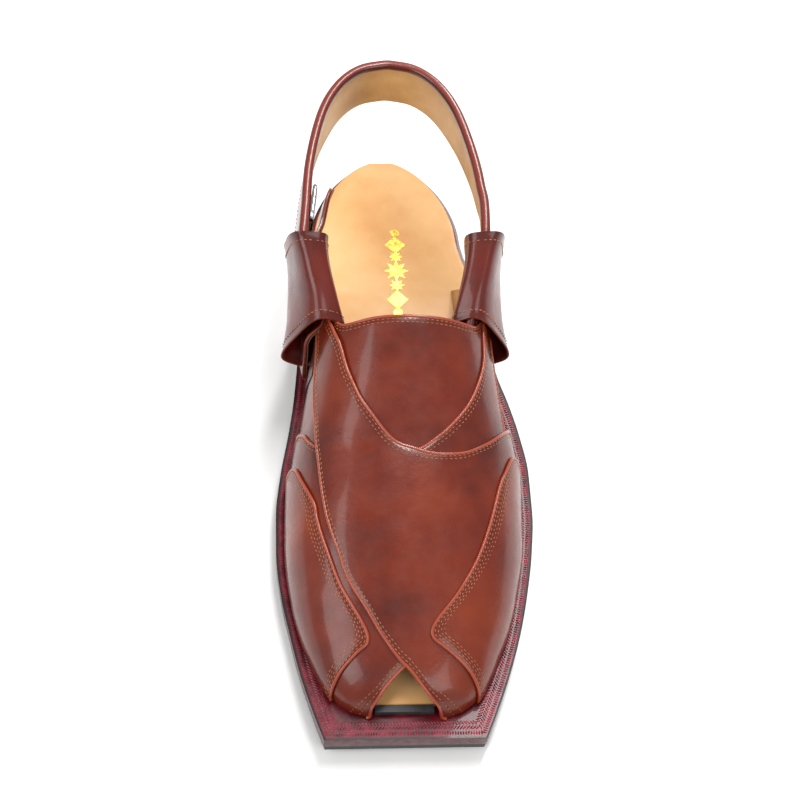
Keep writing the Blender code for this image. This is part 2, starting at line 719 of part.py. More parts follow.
def buckle_strap_path(room):
    """Route of the buckle strap: from the welt, through the inner sleeve, to the free tab."""
    half_thick = BUCKLE_STRAP_THICKNESS / 2 + room
    half_wide = BUCKLE_STRAP_WIDTH / 2 + room
    mouth = sleeve_frame(0.0, -1)[0].z
    path = []
    for share, up, out, turn in BUCKLE_STRAP_RISE:
        floor = welt_top(share) + GAP * 2
        spot = Vector((SLEEVE_CENTRE - out * SLEEVE_SPREAD / 2, along(share),
                       floor + up * (mouth - floor)))
        wide = Vector((0.15, -math.sin(math.radians(turn)), math.cos(math.radians(turn))))
        path.append((spot, wide.normalized(), half_wide, half_thick))
    for k in range(6):
        s = 0.26 + 0.74 * k / 5
        middle, tall, wide, _, _ = sleeve_frame(s, -1)
        inward = BUCKLE_STRAP_INWARD[0] + (BUCKLE_STRAP_INWARD[1] - BUCKLE_STRAP_INWARD[0]) * s
        path.append((middle - wide * inward, tall, half_wide, half_thick))
    end = sleeve_frame(1.0, -1)[0]
    for share, out, drop in TAB:
        spot = Vector((SLEEVE_CENTRE - out * SLEEVE_SPREAD / 2, along(share),
                       end.z + (along(share) - end.y) * 0.25 - drop * BUCKLE_STRAP_WIDTH))
        path.append((spot, Vector((0.1, -0.3, 1)).normalized(), half_wide, half_thick))
    return path


def make_buckle_strap(folder):
    """Anchor strip and free tab in one strap."""
    return ribbon("buckle_strap", buckle_strap_path(0.0), "maroon", folder)


def wire(name, points, radius, closed, folder):
    """A round wire through points, as a bevelled curve."""
    data = bpy.data.curves.new(name, "CURVE")
    data.dimensions = "3D"
    data.bevel_depth = radius
    data.bevel_resolution = 2
    data.use_fill_caps = not closed
    line = data.splines.new("POLY")
    line.points.add(len(points) - 1)
    for item, point in zip(line.points, points):
        item.co = (*point, 1.0)
    line.use_cyclic_u = closed
    piece = bpy.data.objects.new(name, data)
    folder.objects.link(piece)
    data.materials.append(finish(name, "steel"))
    return piece


def make_buckle(folder):
    """Rounded wire frame and prong beside the strap behind the inner sleeve's rear mouth."""
    middle, tall, wide, _, half_wide = sleeve_frame(1.0, -1)
    ahead = Vector((0.12, 1.0, 0.12)).normalized()
    radius = BUCKLE_WIRE / 2
    spot = middle + ahead * (BUCKLE_LENGTH / 2 + BUCKLE_SETBACK)
    strap_face = HEEL_STRAP_OUTWARD[-1][1] - HEEL_STRAP_THICKNESS / 2
    tab_face = -BUCKLE_STRAP_INWARD[1] + BUCKLE_STRAP_THICKNESS / 2
    spot += wide * (strap_face + tab_face) / 2
    up = Vector((0.07, 0, 1)).normalized()
    half_long, half_tall = BUCKLE_LENGTH / 2, HEEL_STRAP_WIDTH / 2 + BUCKLE_CLEARANCE - radius
    bend = 4 * MM
    points = []
    for cx, cz, start in ((1, 1, 0), (-1, 1, 90), (-1, -1, 180), (1, -1, 270)):
        for k in range(5):
            turn = math.radians(start + 22.5 * k)
            reach = cx * (half_long - bend) + math.cos(turn) * bend
            rise = cz * (half_tall - bend) + math.sin(turn) * bend
            points.append(spot + ahead * reach + up * rise)
    wire("buckle_frame", points, radius, True, folder)


def main():
    """Build the shoe, then stand it with its box's bottom centre on the origin."""
    folder, _ = fresh_scene()
    make_sole(folder)
    make_upper(folder)
    make_overlays(folder)
    make_heel_strap(folder)
    make_buckle_strap(folder)
    make_buckle(folder)
    stand_on_origin(folder)


def stand_on_origin(folder):
    """Parent every piece to an empty that brings the box's bottom centre to the origin."""
    bpy.context.view_layer.update()
    graph = bpy.context.evaluated_depsgraph_get()
    corners = []
    for piece in folder.objects:
        shape = piece.evaluated_get(graph)
        corners += [shape.matrix_world @ point.co for point in shape.to_mesh().vertices]
    low = [min(corner[i] for corner in corners) for i in range(3)]
    high = [max(corner[i] for corner in corners) for i in range(3)]
    stand = bpy.data.objects.new("stand", None)
    pieces = list(folder.objects)
    folder.objects.link(stand)
    stand.location = (-(low[0] + high[0]) / 2, -(low[1] + high[1]) / 2, -low[2])
    for piece in pieces:
        piece.parent = stand
    bpy.context.view_layer.update()


main()
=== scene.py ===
import logging
import math
from dataclasses import dataclass, field
from enum import Enum
from functools import lru_cache
from typing import Any, Callable, Iterable

import bpy
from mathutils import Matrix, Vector, noise


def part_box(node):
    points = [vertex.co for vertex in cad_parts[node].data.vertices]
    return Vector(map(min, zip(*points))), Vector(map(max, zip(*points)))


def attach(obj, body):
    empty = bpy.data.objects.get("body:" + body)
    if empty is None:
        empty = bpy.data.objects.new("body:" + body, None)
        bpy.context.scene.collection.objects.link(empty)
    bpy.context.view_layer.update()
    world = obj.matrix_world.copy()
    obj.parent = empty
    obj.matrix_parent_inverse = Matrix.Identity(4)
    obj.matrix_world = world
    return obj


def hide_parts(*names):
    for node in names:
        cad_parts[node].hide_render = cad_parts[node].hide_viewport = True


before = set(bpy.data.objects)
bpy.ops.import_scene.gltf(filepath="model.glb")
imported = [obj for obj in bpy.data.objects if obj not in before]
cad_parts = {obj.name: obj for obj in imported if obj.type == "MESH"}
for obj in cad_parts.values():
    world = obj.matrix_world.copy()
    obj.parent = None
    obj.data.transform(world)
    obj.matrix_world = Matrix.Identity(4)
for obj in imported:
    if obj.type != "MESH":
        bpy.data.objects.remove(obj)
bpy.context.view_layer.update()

LOG = logging.getLogger("chappal")
MM = 0.001
Rows = tuple[tuple[float, ...], ...]
Stop = tuple[Vector, Vector, Vector]

SOLE_LENGTH, SOLE_WIDTH = 300 * MM, 116 * MM
RUBBER, WELT, INSOLE, GAP = 3.7 * MM, 7 * MM, 2.5 * MM, 0.3 * MM
HEEL_HEIGHT, TOE_SPRING, INSTEP_HEIGHT = 12 * MM, 4 * MM, 64 * MM
UPPER_SPREAD, SIDE_TRIM = 150 * MM, 1.6 * MM
SLEEVE_TALL, SLEEVE_WIDE, SLEEVE_SPREAD = 36 * MM, 16 * MM, 82 * MM
SLEEVE_CENTRE, SLEEVE_WALL, SLEEVE_SQUARENESS = 1.2 * MM, 2.2 * MM, 3.5
HEEL_STRAP_WIDTH, HEEL_STRAP_THICK, HEEL_STRAP_RISE = 26 * MM, 3.6 * MM, 53 * MM
HEEL_STRAP_OUTWARD = {-1: (0.8 * MM, 2.6 * MM), 1: (0.0, 0.4 * MM)}
BUCKLE_STRAP_WIDTH, BUCKLE_STRAP_THICK = 18 * MM, 2.4 * MM
BUCKLE_STRAP_INWARD = (2.0 * MM, 4.2 * MM)

SOLE_OUTLINE: Rows = (
    (0.000, 0.298, 0.302), (0.043, 0.334, 0.348), (0.107, 0.381, 0.410), (0.170, 0.416, 0.460),
    (0.233, 0.447, 0.497), (0.300, 0.463, 0.526), (0.367, 0.462, 0.541), (0.433, 0.443, 0.538),
    (0.500, 0.410, 0.510), (0.553, 0.388, 0.474), (0.600, 0.375, 0.435), (0.667, 0.358, 0.401),
    (0.767, 0.332, 0.355), (0.847, 0.309, 0.312), (1.000, 0.300, 0.300),
)
SOLE_LINE: Rows = (
    (0.000, 1.00, 0.00), (0.083, 0.42, 0.00), (0.145, 0.10, 0.00), (0.190, 0.00, 0.00),
    (0.385, 0.00, 0.00), (0.450, 0.00, 0.11), (0.567, 0.00, 0.42), (0.667, 0.00, 0.76),
    (0.745, 0.00, 0.95), (0.800, 0.00, 1.00), (1.000, 0.00, 1.02),
)
LAST: Rows = (
    (0.038, 0.130, 0.134, 0.000, 0.000), (0.047, 0.190, 0.194, 0.000, 0.125),
    (0.063, 0.248, 0.254, 0.000, 0.196), (0.083, 0.286, 0.293, 0.000, 0.255),
    (0.107, 0.317, 0.328, 0.003, 0.312), (0.157, 0.365, 0.382, 0.009, 0.408),
    (0.207, 0.395, 0.420, 0.014, 0.489), (0.300, 0.418, 0.462, 0.022, 0.623),
    (0.400, 0.410, 0.470, 0.030, 0.757), (0.500, 0.367, 0.435, 0.039, 0.900),
    (0.577, 0.336, 0.410, 0.046, 1.000), (0.650, 0.328, 0.397, 0.052, 1.075),
)
OVER_UPPER: Rows = (
    (0.608, 0.220), (0.573, 0.260), (0.547, 0.293), (0.507, 0.330), (0.463, 0.380),
    (0.433, 0.423), (0.400, 0.470), (0.387, 0.507), (0.380, 0.547), (0.380, 0.593),
    (0.387, 0.650), (0.407, 0.720), (0.433, 0.797), (0.463, 0.900), (0.480, 1.000),
)
OVER_LOWER: Rows = (
    (0.608, 0.160), (0.560, 0.165), (0.523, 0.177), (0.480, 0.197), (0.447, 0.222),
    (0.420, 0.235), (0.387, 0.250), (0.350, 0.263), (0.300, 0.285), (0.247, 0.320),
    (0.207, 0.345), (0.167, 0.390), (0.123, 0.440), (0.088, 0.500), (0.060, 0.573),
    (0.047, 0.670), (0.039, 0.820), (0.038, 1.000),
)
UNDER_UPPER: Rows = (
    (0.608, 0.795), (0.547, 0.775), (0.507, 0.735), (0.460, 0.670), (0.420, 0.597),
    (0.403, 0.560), (0.387, 0.520), (0.380, 0.470), (0.382, 0.410), (0.388, 0.340),
    (0.402, 0.270), (0.427, 0.193), (0.447, 0.147), (0.465, 0.080), (0.480, 0.000),
)
UNDER_LOWER: Rows = (
    (0.608, 0.870), (0.547, 0.865), (0.507, 0.860), (0.473, 0.855), (0.440, 0.840),
    (0.400, 0.780), (0.300, 0.715), (0.207, 0.655), (0.123, 0.560), (0.088, 0.500),
    (0.060, 0.410), (0.047, 0.320), (0.039, 0.170), (0.038, 0.000),
)
PANEL_REAR: Rows = (
    (0.556, 1.000), (0.560, 0.940), (0.578, 0.890), (0.604, 0.855), (0.604, 0.805),
    (0.584, 0.750), (0.576, 0.690), (0.573, 0.620), (0.572, 0.540), (0.573, 0.470),
    (0.574, 0.400), (0.576, 0.320), (0.584, 0.270), (0.604, 0.225), (0.604, 0.180),
    (0.578, 0.130), (0.558, 0.060), (0.556, 0.000),
)
INNER_OVERLAY: Rows = (
    (0.417, 0.000), (0.410, 0.060), (0.400, 0.127), (0.370, 0.178), (0.327, 0.238),
    (0.300, 0.252), (0.247, 0.287), (0.200, 0.320), (0.128, 0.390), (0.107, 0.337),
    (0.083, 0.200), (0.072, 0.100), (0.066, 0.000),
)
OUTER_OVERLAY: Rows = (
    (0.423, 1.000), (0.417, 0.930), (0.407, 0.843), (0.373, 0.790), (0.347, 0.760),
    (0.293, 0.723), (0.233, 0.683), (0.183, 0.630), (0.130, 0.563), (0.107, 0.630),
    (0.080, 0.793), (0.068, 0.900), (0.062, 1.000),
)
SLEEVE: Rows = (
    (0.585, 0.655, 0.915, 1.03, 1.20, 30.0, -4.0), (0.630, 0.765, 0.930, 1.00, 1.00, 20.0, 6.0),
    (0.677, 0.870, 0.960, 0.97, 0.97, 12.0, 14.0), (0.723, 0.975, 0.990, 0.97, 1.14, 6.0, 22.0),
)
WING: Rows = (
    (0.545, 0.965, 0.545, 0.885, 0.50), (0.610, 0.880, 0.590, 0.880, 0.50),
    (0.650, 0.835, 0.620, 0.905, 0.50), (0.700, 0.795, 0.650, 0.920, 0.53),
    (0.742, 0.770, 0.672, 0.935, 0.56),
)
HEEL_LOOP: Rows = (
    (0.740, 1.037), (0.785, 1.000), (0.830, 0.956), (0.877, 0.880), (0.923, 0.776),
    (0.970, 0.610), (1.000, 0.420), (1.016, 0.200), (1.020, 0.000),
)
BUCKLE_RISE: Rows = (
    (0.618, 0.09, 1.030, 90.0), (0.612, 0.27, 1.040, 84.0),
    (0.607, 0.56, 1.030, 70.0), (0.613, 0.84, 0.990, 45.0),
)
TAB: Rows = ((0.748, 0.825, 0.10), (0.785, 0.760, 0.05), (0.806, 0.690, 0.00))


class Slot(Enum):
    """Material slots of the record."""

    CHESTNUT = "chestnut_leather"
    MAROON = "maroon_leather"
    TAN = "tan_leather"
    WELT = "welt_leather"
    RUBBER = "rubber"
    STEEL = "steel"


@lru_cache(maxsize=None)
def tangents(rows: Rows, number: int) -> tuple[list[float], list[float], list[float]]:
    """Places, values and slopes of one table column.

    Args:
        rows: the table, whose first column rises.
        number: the column read.

    Returns:
        The places, the values and a slope at each that never overshoots.
    """
    x, y = [row[0] for row in rows], [row[number] for row in rows]
    slope = [(y[i + 1] - y[i]) / (x[i + 1] - x[i]) for i in range(len(x) - 1)]
    made = [slope[0]] + [0.0] * (len(x) - 2) + [slope[-1]]
    for i in range(1, len(x) - 1):
        if slope[i - 1] * slope[i] > 0:
            made[i] = 2 * slope[i - 1] * slope[i] / (slope[i - 1] + slope[i])
    return x, y, made


def column(rows: Rows, number: int, at: float) -> float:
    """One column of a table, read smoothly.

    Args:
        rows: the table.
        number: the column.
        at: the place along it.

    Returns:
        The value there.
    """
    x, y, slope = tangents(rows, number)
    at = min(max(at, x[0]), x[-1])
    i = 0
    while i < len(x) - 2 and at >= x[i + 1]:
        i += 1
    span = x[i + 1] - x[i]
    s = (at - x[i]) / span
    return ((2 * s**3 - 3 * s**2 + 1) * y[i] + (s**3 - 2 * s**2 + s) * span * slope[i]
            + (3 * s**2 - 2 * s**3) * y[i + 1] + (s**3 - s**2) * span * slope[i + 1])


def along(share: float) -> float:
    """Y of a share of the sole's length from the toe, before the shoe is stood on its origin."""
    return (share - 0.5) * SOLE_LENGTH


def sole_edge(share: float, side: int) -> float:
    """X of the sole's edge.

    Args:
        share: place along the sole.
        side: -1 inner, 1 outer.

    Returns:
        X in metres.
    """
    keep = 1.0
    if share > 0.847:
        keep = (1 - ((share - 0.847) / 0.153) ** 1.8) ** (1 / 1.8)
    return side * column(SOLE_OUTLINE, 1 if side < 0 else 2, share) * SOLE_WIDTH * keep


def welt_top(share: float) -> float:
    """Height of the welt's upper face."""
    bottom = column(SOLE_LINE, 1, share) * TOE_SPRING + column(SOLE_LINE, 2, share) * HEEL_HEIGHT
    return bottom + RUBBER + GAP + WELT


def insole_top(share: float) -> float:
    """Height of the insole's upper face."""
    return welt_top(share) + GAP + INSOLE


def stand_shift() -> Vector:
    """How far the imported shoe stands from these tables' own origin, read from its welt."""
    low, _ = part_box("midsole_welt")
    edge = min(sole_edge(k / 400, -1) for k in range(400))
    return Vector((low.x - edge, low.y - along(0.0), low.z - RUBBER - GAP))


SHIFT = stand_shift()


def last_point(share: float, across: float, off: float) -> Vector:
    """Point of the last's skin.

    Args:
        share: place along the sole.
        across: 0 at the inner welt line, 1 at the outer one.
        off: how far outside the last, in metres.

    Returns:
        The point in the row frame.
    """
    first, final = LAST[0][0], LAST[-1][0]
    share = min(max(share, first), final)
    toe = min(max((0.117 - share) / (0.117 - first), 0.0), 1.0)
    rise = min((share - first) / 0.020, 1.0)
    inner = column(LAST, 1, share) * SOLE_WIDTH + off - SIDE_TRIM
    outer = column(LAST, 2, share) * SOLE_WIDTH + off - SIDE_TRIM
    centre = column(LAST, 3, share) * SOLE_WIDTH
    crown = column(LAST, 4, share) * INSTEP_HEIGHT + off * rise
    turn = math.pi * (1 - min(max(across, 0.0), 1.0))
    cosine, sine = math.cos(turn), abs(math.sin(turn))
    reach = -(inner + centre) if cosine < 0 else outer - centre
    y = along(share) - off * toe
    z = welt_top(y / SOLE_LENGTH + 0.5) + GAP + crown * sine**0.80
    return Vector((centre + reach * abs(cosine) ** 0.86, y, z)) + SHIFT


def linear(code: str) -> tuple[float, float, float, float]:
    """An sRGB hex colour as linear RGBA."""
    parts = [int(code[i:i + 2], 16) / 255 for i in (1, 3, 5)]
    made = [p / 12.92 if p <= 0.04045 else ((p + 0.055) / 1.055) ** 2.4 for p in parts]
    return made[0], made[1], made[2], 1.0


def add_node(tree: bpy.types.NodeTree, kind: str, inputs: dict[Any, Any] | None = None,
             **settings: Any) -> bpy.types.Node:
    """Add one node with its settings and links.

    Args:
        tree: the material's tree.
        kind: the node's type name, without its ShaderNode prefix.
        inputs: value or source socket for each input, by name or number.
        settings: attributes of the node.

    Returns:
        The node.
    """
    node = tree.nodes.new("ShaderNode" + kind)
    for name, value in settings.items():
        setattr(node, name, value)
    for name, value in (inputs or {}).items():
        if isinstance(value, bpy.types.NodeSocket):
            tree.links.new(value, node.inputs[name])
        else:
            node.inputs[name].default_value = value
    return node


def fresh_material(name: str) -> tuple[bpy.types.Material, bpy.types.NodeTree, bpy.types.Node]:
    """A named material with its tree and its Principled shader."""
    material = bpy.data.materials.new(name)
    material.use_nodes = True
    tree = material.node_tree
    return material, tree, tree.nodes["Principled BSDF"]


def noise_at(tree: bpy.types.NodeTree, size_mm: float, detail: float = 3.0) -> Any:
    """Noise on Object coordinates.

    Args:
        tree: the material's tree.
        size_mm: size of one patch.
        detail: octaves.

    Returns:
        The factor socket.
    """
    place = add_node(tree, "TexCoord").outputs["Object"]
    node = add_node(tree, "TexNoise", {"Vector": place, "Scale": 1000.0 / size_mm,
                                       "Detail": detail, "Roughness": 0.55})
    return node.outputs["Fac"]


def ramp(tree: bpy.types.NodeTree, factor: Any, stops: Iterable[tuple[float, str]]) -> Any:
    """A colour ramp over a factor.

    Args:
        tree: the material's tree.
        factor: its source socket.
        stops: place and hex colour of each stop.

    Returns:
        The colour socket.
    """
    node = add_node(tree, "ValToRGB", {"Fac": factor})
    stops = list(stops)
    while len(node.color_ramp.elements) < len(stops):
        node.color_ramp.elements.new(0.5)
    for item, (place, code) in zip(node.color_ramp.elements, stops):
        item.position = place
        item.color = linear(code)
    return node.outputs["Color"]


def blend_colour(tree: bpy.types.NodeTree, factor: Any, first: Any, second: Any) -> Any:
    """Mix two colours, each a socket or a linear colour, and return the colour socket."""
    node = add_node(tree, "Mix", data_type="RGBA")
    for number, value in ((0, factor), (6, first), (7, second)):
        if isinstance(value, bpy.types.NodeSocket):
            tree.links.new(value, node.inputs[number])
        else:
            node.inputs[number].default_value = value
    return node.outputs[2]


def remap(tree: bpy.types.NodeTree, value: Any, low: float, high: float, first: float,
          second: float) -> Any:
    """Map low..high of a socket to first..second, clamped, and return the socket."""
    node = add_node(tree, "MapRange", {"Value": value, "From Min": low, "From Max": high,
                                       "To Min": first, "To Max": second})
    return node.outputs["Result"]


@dataclass(frozen=True)
class Leather:
    """Aniline-dyed cowhide, waxed and burnished by hand: the dye pools darker near edges, the
    cut edge stays paler, and the pores break up a tight highlight."""

    name: str
    dark: str
    middle: str
    light: str
    edge: str
    roughness: float = 0.30
    coat: float = 0.35
    pore_mm: float = 0.9
    relief_mm: float = 0.06

    def build(self) -> bpy.types.Material:
        """Make the material.

        Returns:
            The material.
        """
        material, tree, shader = fresh_material(self.name)
        patina = noise_at(tree, 38.0, 5.0)
        base = ramp(tree, patina, ((0.30, self.dark), (0.50, self.middle), (0.72, self.light)))
        edge = add_node(tree, "Attribute", attribute_name="edge_mm").outputs["Fac"]
        burnish = remap(tree, edge, 0.8, 7.0, 0.42, 0.0)
        base = blend_colour(tree, burnish, base, linear(self.dark))
        base = blend_colour(tree, remap(tree, edge, 0.15, 0.8, 0.85, 0.0), base,
                            linear(self.edge))
        tree.links.new(base, shader.inputs["Base Color"])
        rough = remap(tree, noise_at(tree, 9.0), 0.3, 0.7, self.roughness - 0.06,
                      self.roughness + 0.10)
        tree.links.new(rough, shader.inputs["Roughness"])
        shader.inputs["Coat Weight"].default_value = self.coat
        shader.inputs["Coat Roughness"].default_value = 0.10
        shader.inputs["Specular IOR Level"].default_value = 0.32
        place = add_node(tree, "TexCoord").outputs["Object"]
        pores = add_node(tree, "TexVoronoi", {"Vector": place, "Scale": 1000 / self.pore_mm})
        grain = add_node(tree, "Bump", {"Height": pores.outputs["Distance"], "Strength": 0.35,
                                        "Distance": self.relief_mm * MM})
        creases = add_node(tree, "Bump", {"Height": noise_at(tree, 6.0, 6.0), "Strength": 0.5,
                                          "Distance": self.relief_mm * 6 * MM,
                                          "Normal": grain.outputs["Normal"]})
        tree.links.new(creases.outputs["Normal"], shader.inputs["Normal"])
        return material


@dataclass(frozen=True)
class WeltLeather:
    """Vegetable-tanned welt, embossed and dyed crimson on top, with a mauve-brown trimmed side and
    an inked black line round its top edge. The top is darker than the ribs laid on it: partly its
    own crimson and partly painted shade in the grooves between the ribs."""

    name: str = "embossed_crimson_welt"

    def build(self) -> bpy.types.Material:
        """Make the material.

        Returns:
            The material.
        """
        material, tree, shader = fresh_material(self.name)
        # top darker than the ribs on it: crimson dye plus painted shade in the grooves between ribs
        top = ramp(tree, noise_at(tree, 7.0, 4.0), ((0.3, "#38040e"), (0.55, "#560a16"),
                                                    (0.75, "#7c1626")))
        side = ramp(tree, noise_at(tree, 3.0, 4.0), ((0.3, "#43262a"), (0.7, "#6b4246")))
        rim = add_node(tree, "Attribute", attribute_name="edge_mm").outputs["Fac"]
        top = blend_colour(tree, remap(tree, rim, 0.5, 1.1, 1.0, 0.0), top, linear("#1b1012"))
        normal = add_node(tree, "NewGeometry").outputs["Normal"]
        height = add_node(tree, "SeparateXYZ", {0: normal}).outputs["Z"]
        base = blend_colour(tree, remap(tree, height, 0.45, 0.75, 0.0, 1.0), side, top)
        tree.links.new(base, shader.inputs["Base Color"])
        shader.inputs["Roughness"].default_value = 0.38
        shader.inputs["Coat Weight"].default_value = 0.15
        shader.inputs["Specular IOR Level"].default_value = 0.25
        bump = add_node(tree, "Bump", {"Height": noise_at(tree, 0.9), "Strength": 0.4,
                                       "Distance": 0.1 * MM})
        tree.links.new(bump.outputs["Normal"], shader.inputs["Normal"])
        return material


@dataclass(frozen=True)
class Plain:
    """A material of two close colours and a fine relief: moulded rubber, waxed thread, polished
    steel or gold foil."""

    name: str
    first: str
    second: str
    roughness: float
    metallic: float = 0.0
    patch_mm: float = 4.0
    relief_mm: float = 0.05

    def build(self) -> bpy.types.Material:
        """Make the material.

        Returns:
            The material.
        """
        material, tree, shader = fresh_material(self.name)
        mottle = noise_at(tree, self.patch_mm, 4.0)
        base = ramp(tree, mottle, ((0.35, self.first), (0.65, self.second)))
        tree.links.new(base, shader.inputs["Base Color"])
        shader.inputs["Metallic"].default_value = self.metallic
        rough = remap(tree, mottle, 0.3, 0.7, self.roughness * 0.8, self.roughness * 1.25)
        tree.links.new(rough, shader.inputs["Roughness"])
        bump = add_node(tree, "Bump", {"Height": noise_at(tree, self.patch_mm / 5),
                                       "Strength": 0.4, "Distance": self.relief_mm * MM})
        tree.links.new(bump.outputs["Normal"], shader.inputs["Normal"])
        return material


CHESTNUT = Leather("burnished_chestnut_cowhide", "#420e04", "#641c06", "#782a0a", "#7e301a")
MAROON = Leather("burnished_maroon_cowhide", "#380a05", "#5a1408", "#6a1c0c", "#7a2e20")
# the wing below each sleeve: near-black brown, partly dark leather and partly painted shade under
# the sleeve
DARK_WING_AND_PAINTED_SHADE = Leather("dark_wing_leather_and_painted_shade", "#24100a", "#3c1b10", "#50281a", "#6b3c28",
                      roughness=0.45, coat=0.15)
TAN_LINING = Leather("tan_lining_leather", "#a67c48", "#c69a62", "#d8b07a", "#a87c4c",
                     roughness=0.50, coat=0.05)
INSOLE_LEATHER = Leather("tan_insole_leather", "#cf9556", "#deaa6c", "#e8b87e", "#b98048",
                         roughness=0.48, coat=0.08, relief_mm=0.03)
FLESH = Leather("brown_flesh_side_leather", "#6b4528", "#8a5f3c", "#a07550", "#6e4a2c",
                roughness=0.65, coat=0.0)
WELT_TOP = WeltLeather()
# the rolled edges: paler leather, partly their own colour and partly a painted highlight along the
# roll
ROLLED_EDGE = Leather("pale_rolled_edge_and_painted_highlight", "#7e3020", "#94402a", "#a8523a", "#94402a",
                      roughness=0.26, relief_mm=0.02)
# ribs and knurls of the welt: crimson dye, painted brighter than the welt between them as a glint
# on the ridge tops
RIB = Plain("crimson_rib_dye_and_painted_glint", "#540a18", "#98283c", 0.26, patch_mm=5.0)
BLACK_RUBBER = Plain("moulded_black_rubber", "#232325", "#38383b", 0.55, patch_mm=6.0)
THREAD = Plain("waxed_cotton_thread", "#8a4a28", "#ac6c42", 0.60, patch_mm=1.5)
STEEL = Plain("polished_nickel_steel", "#b9b9bc", "#d4d4d6", 0.16, metallic=1.0, relief_mm=0.01)
GOLD = Plain("stamped_gold_foil", "#a8812c", "#d8b45a", 0.30, metallic=1.0, patch_mm=2.0)
Finish = Leather | WeltLeather | Plain


@lru_cache(maxsize=None)
def material_of(finish: Finish) -> bpy.types.Material:
    """The one material of a finish."""
    return finish.build()


def alone(piece: bpy.types.Object) -> None:
    """Select one piece and make it active."""
    bpy.ops.object.select_all(action="DESELECT")
    piece.select_set(True)
    bpy.context.view_layer.objects.active = piece


def edit(piece: bpy.types.Object, *steps: Callable[[], Any]) -> None:
    """Run edit-mode operators on all of a piece's mesh."""
    alone(piece)
    bpy.ops.object.mode_set(mode="EDIT")
    bpy.ops.mesh.select_all(action="SELECT")
    for step in steps:
        step()
    bpy.ops.object.mode_set(mode="OBJECT")


def modify(piece: bpy.types.Object, kind: str, **settings: Any) -> None:
    """Add a modifier and apply it."""
    alone(piece)
    modifier = piece.modifiers.new(kind.lower(), kind)
    for name, value in settings.items():
        setattr(modifier, name, value)
    bpy.ops.object.modifier_apply(modifier=modifier.name)


def done(piece: bpy.types.Object, finish: Finish, slot: Slot, *nodes: str) -> bpy.types.Object:
    """Dress a finished piece and hand it to the frame.

    Args:
        piece: the piece.
        finish: its finish.
        slot: the record's slot; not used.
        nodes: the CAD nodes it stands for.

    Returns:
        The piece.
    """
    alone(piece)
    bpy.ops.object.shade_smooth_by_angle(angle=math.radians(42))
    piece.data.materials.clear()
    piece.data.materials.append(material_of(finish))
    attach(piece, "root")
    if nodes:
        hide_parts(*nodes)
    LOG.info("%s: %d faces", piece.name, len(piece.data.polygons))
    return piece


def mapped_grid(name: str, wide: int, deep: int,
                place: Callable[[float, float], tuple[Vector, float]]) -> bpy.types.Object:
    """A grid primitive whose points are put in place.

    Args:
        name: the piece's name.
        wide: faces along u.
        deep: faces along v.
        place: gives the point and the distance from the edge, in mm, for u and v from 0 to 1.

    Returns:
        The piece.
    """
    bpy.ops.object.select_all(action="DESELECT")
    bpy.ops.mesh.primitive_grid_add(x_subdivisions=wide, y_subdivisions=deep, size=1.0)
    piece = bpy.context.active_object
    piece.name = name
    rim = piece.data.attributes.new("edge_mm", "FLOAT", "POINT")
    for vertex in piece.data.vertices:
        spot, edge = place(vertex.co.x + 0.5, vertex.co.y + 0.5)
        vertex.co = spot
        rim.data[vertex.index].value = edge
    return piece


def smooth_path(points: list[Vector], steps: int) -> list[Vector]:
    """A Catmull-Rom line through points, with a number of steps between each pair."""
    made = [points[0]]
    for i in range(len(points) - 1):
        a, b = points[max(i - 1, 0)], points[i]
        c, d = points[i + 1], points[min(i + 2, len(points) - 1)]
        for k in range(1, steps + 1):
            s = k / steps
            made.append(0.5 * ((2 * b) + (c - a) * s + (2 * a - 5 * b + 4 * c - d) * s**2
                               + (3 * b - a - 3 * c + d) * s**3))
    return made


@lru_cache(maxsize=None)
def edge_line(rows: Rows) -> tuple[list[Vector], list[float]]:
    """A drawn edge as close points on the flattened last, with the length up to each."""
    points = smooth_path([Vector((r[0] * SOLE_LENGTH, r[1] * UPPER_SPREAD)) for r in rows], 8)
    lengths = [0.0]
    for a, b in zip(points, points[1:]):
        lengths.append(lengths[-1] + (b - a).length)
    return points, lengths


def edge_spot(rows: Rows, s: float) -> Vector:
    """The flat place at a share of an edge's length."""
    points, lengths = edge_line(rows)
    want = min(max(s, 0.0), 1.0) * lengths[-1]
    low, high = 0, len(lengths) - 1
    while high - low > 1:
        middle = (low + high) // 2
        if lengths[middle] <= want:
            low = middle
        else:
            high = middle
    span = max(lengths[high] - lengths[low], 1e-9)
    return points[low].lerp(points[high], (want - lengths[low]) / span)


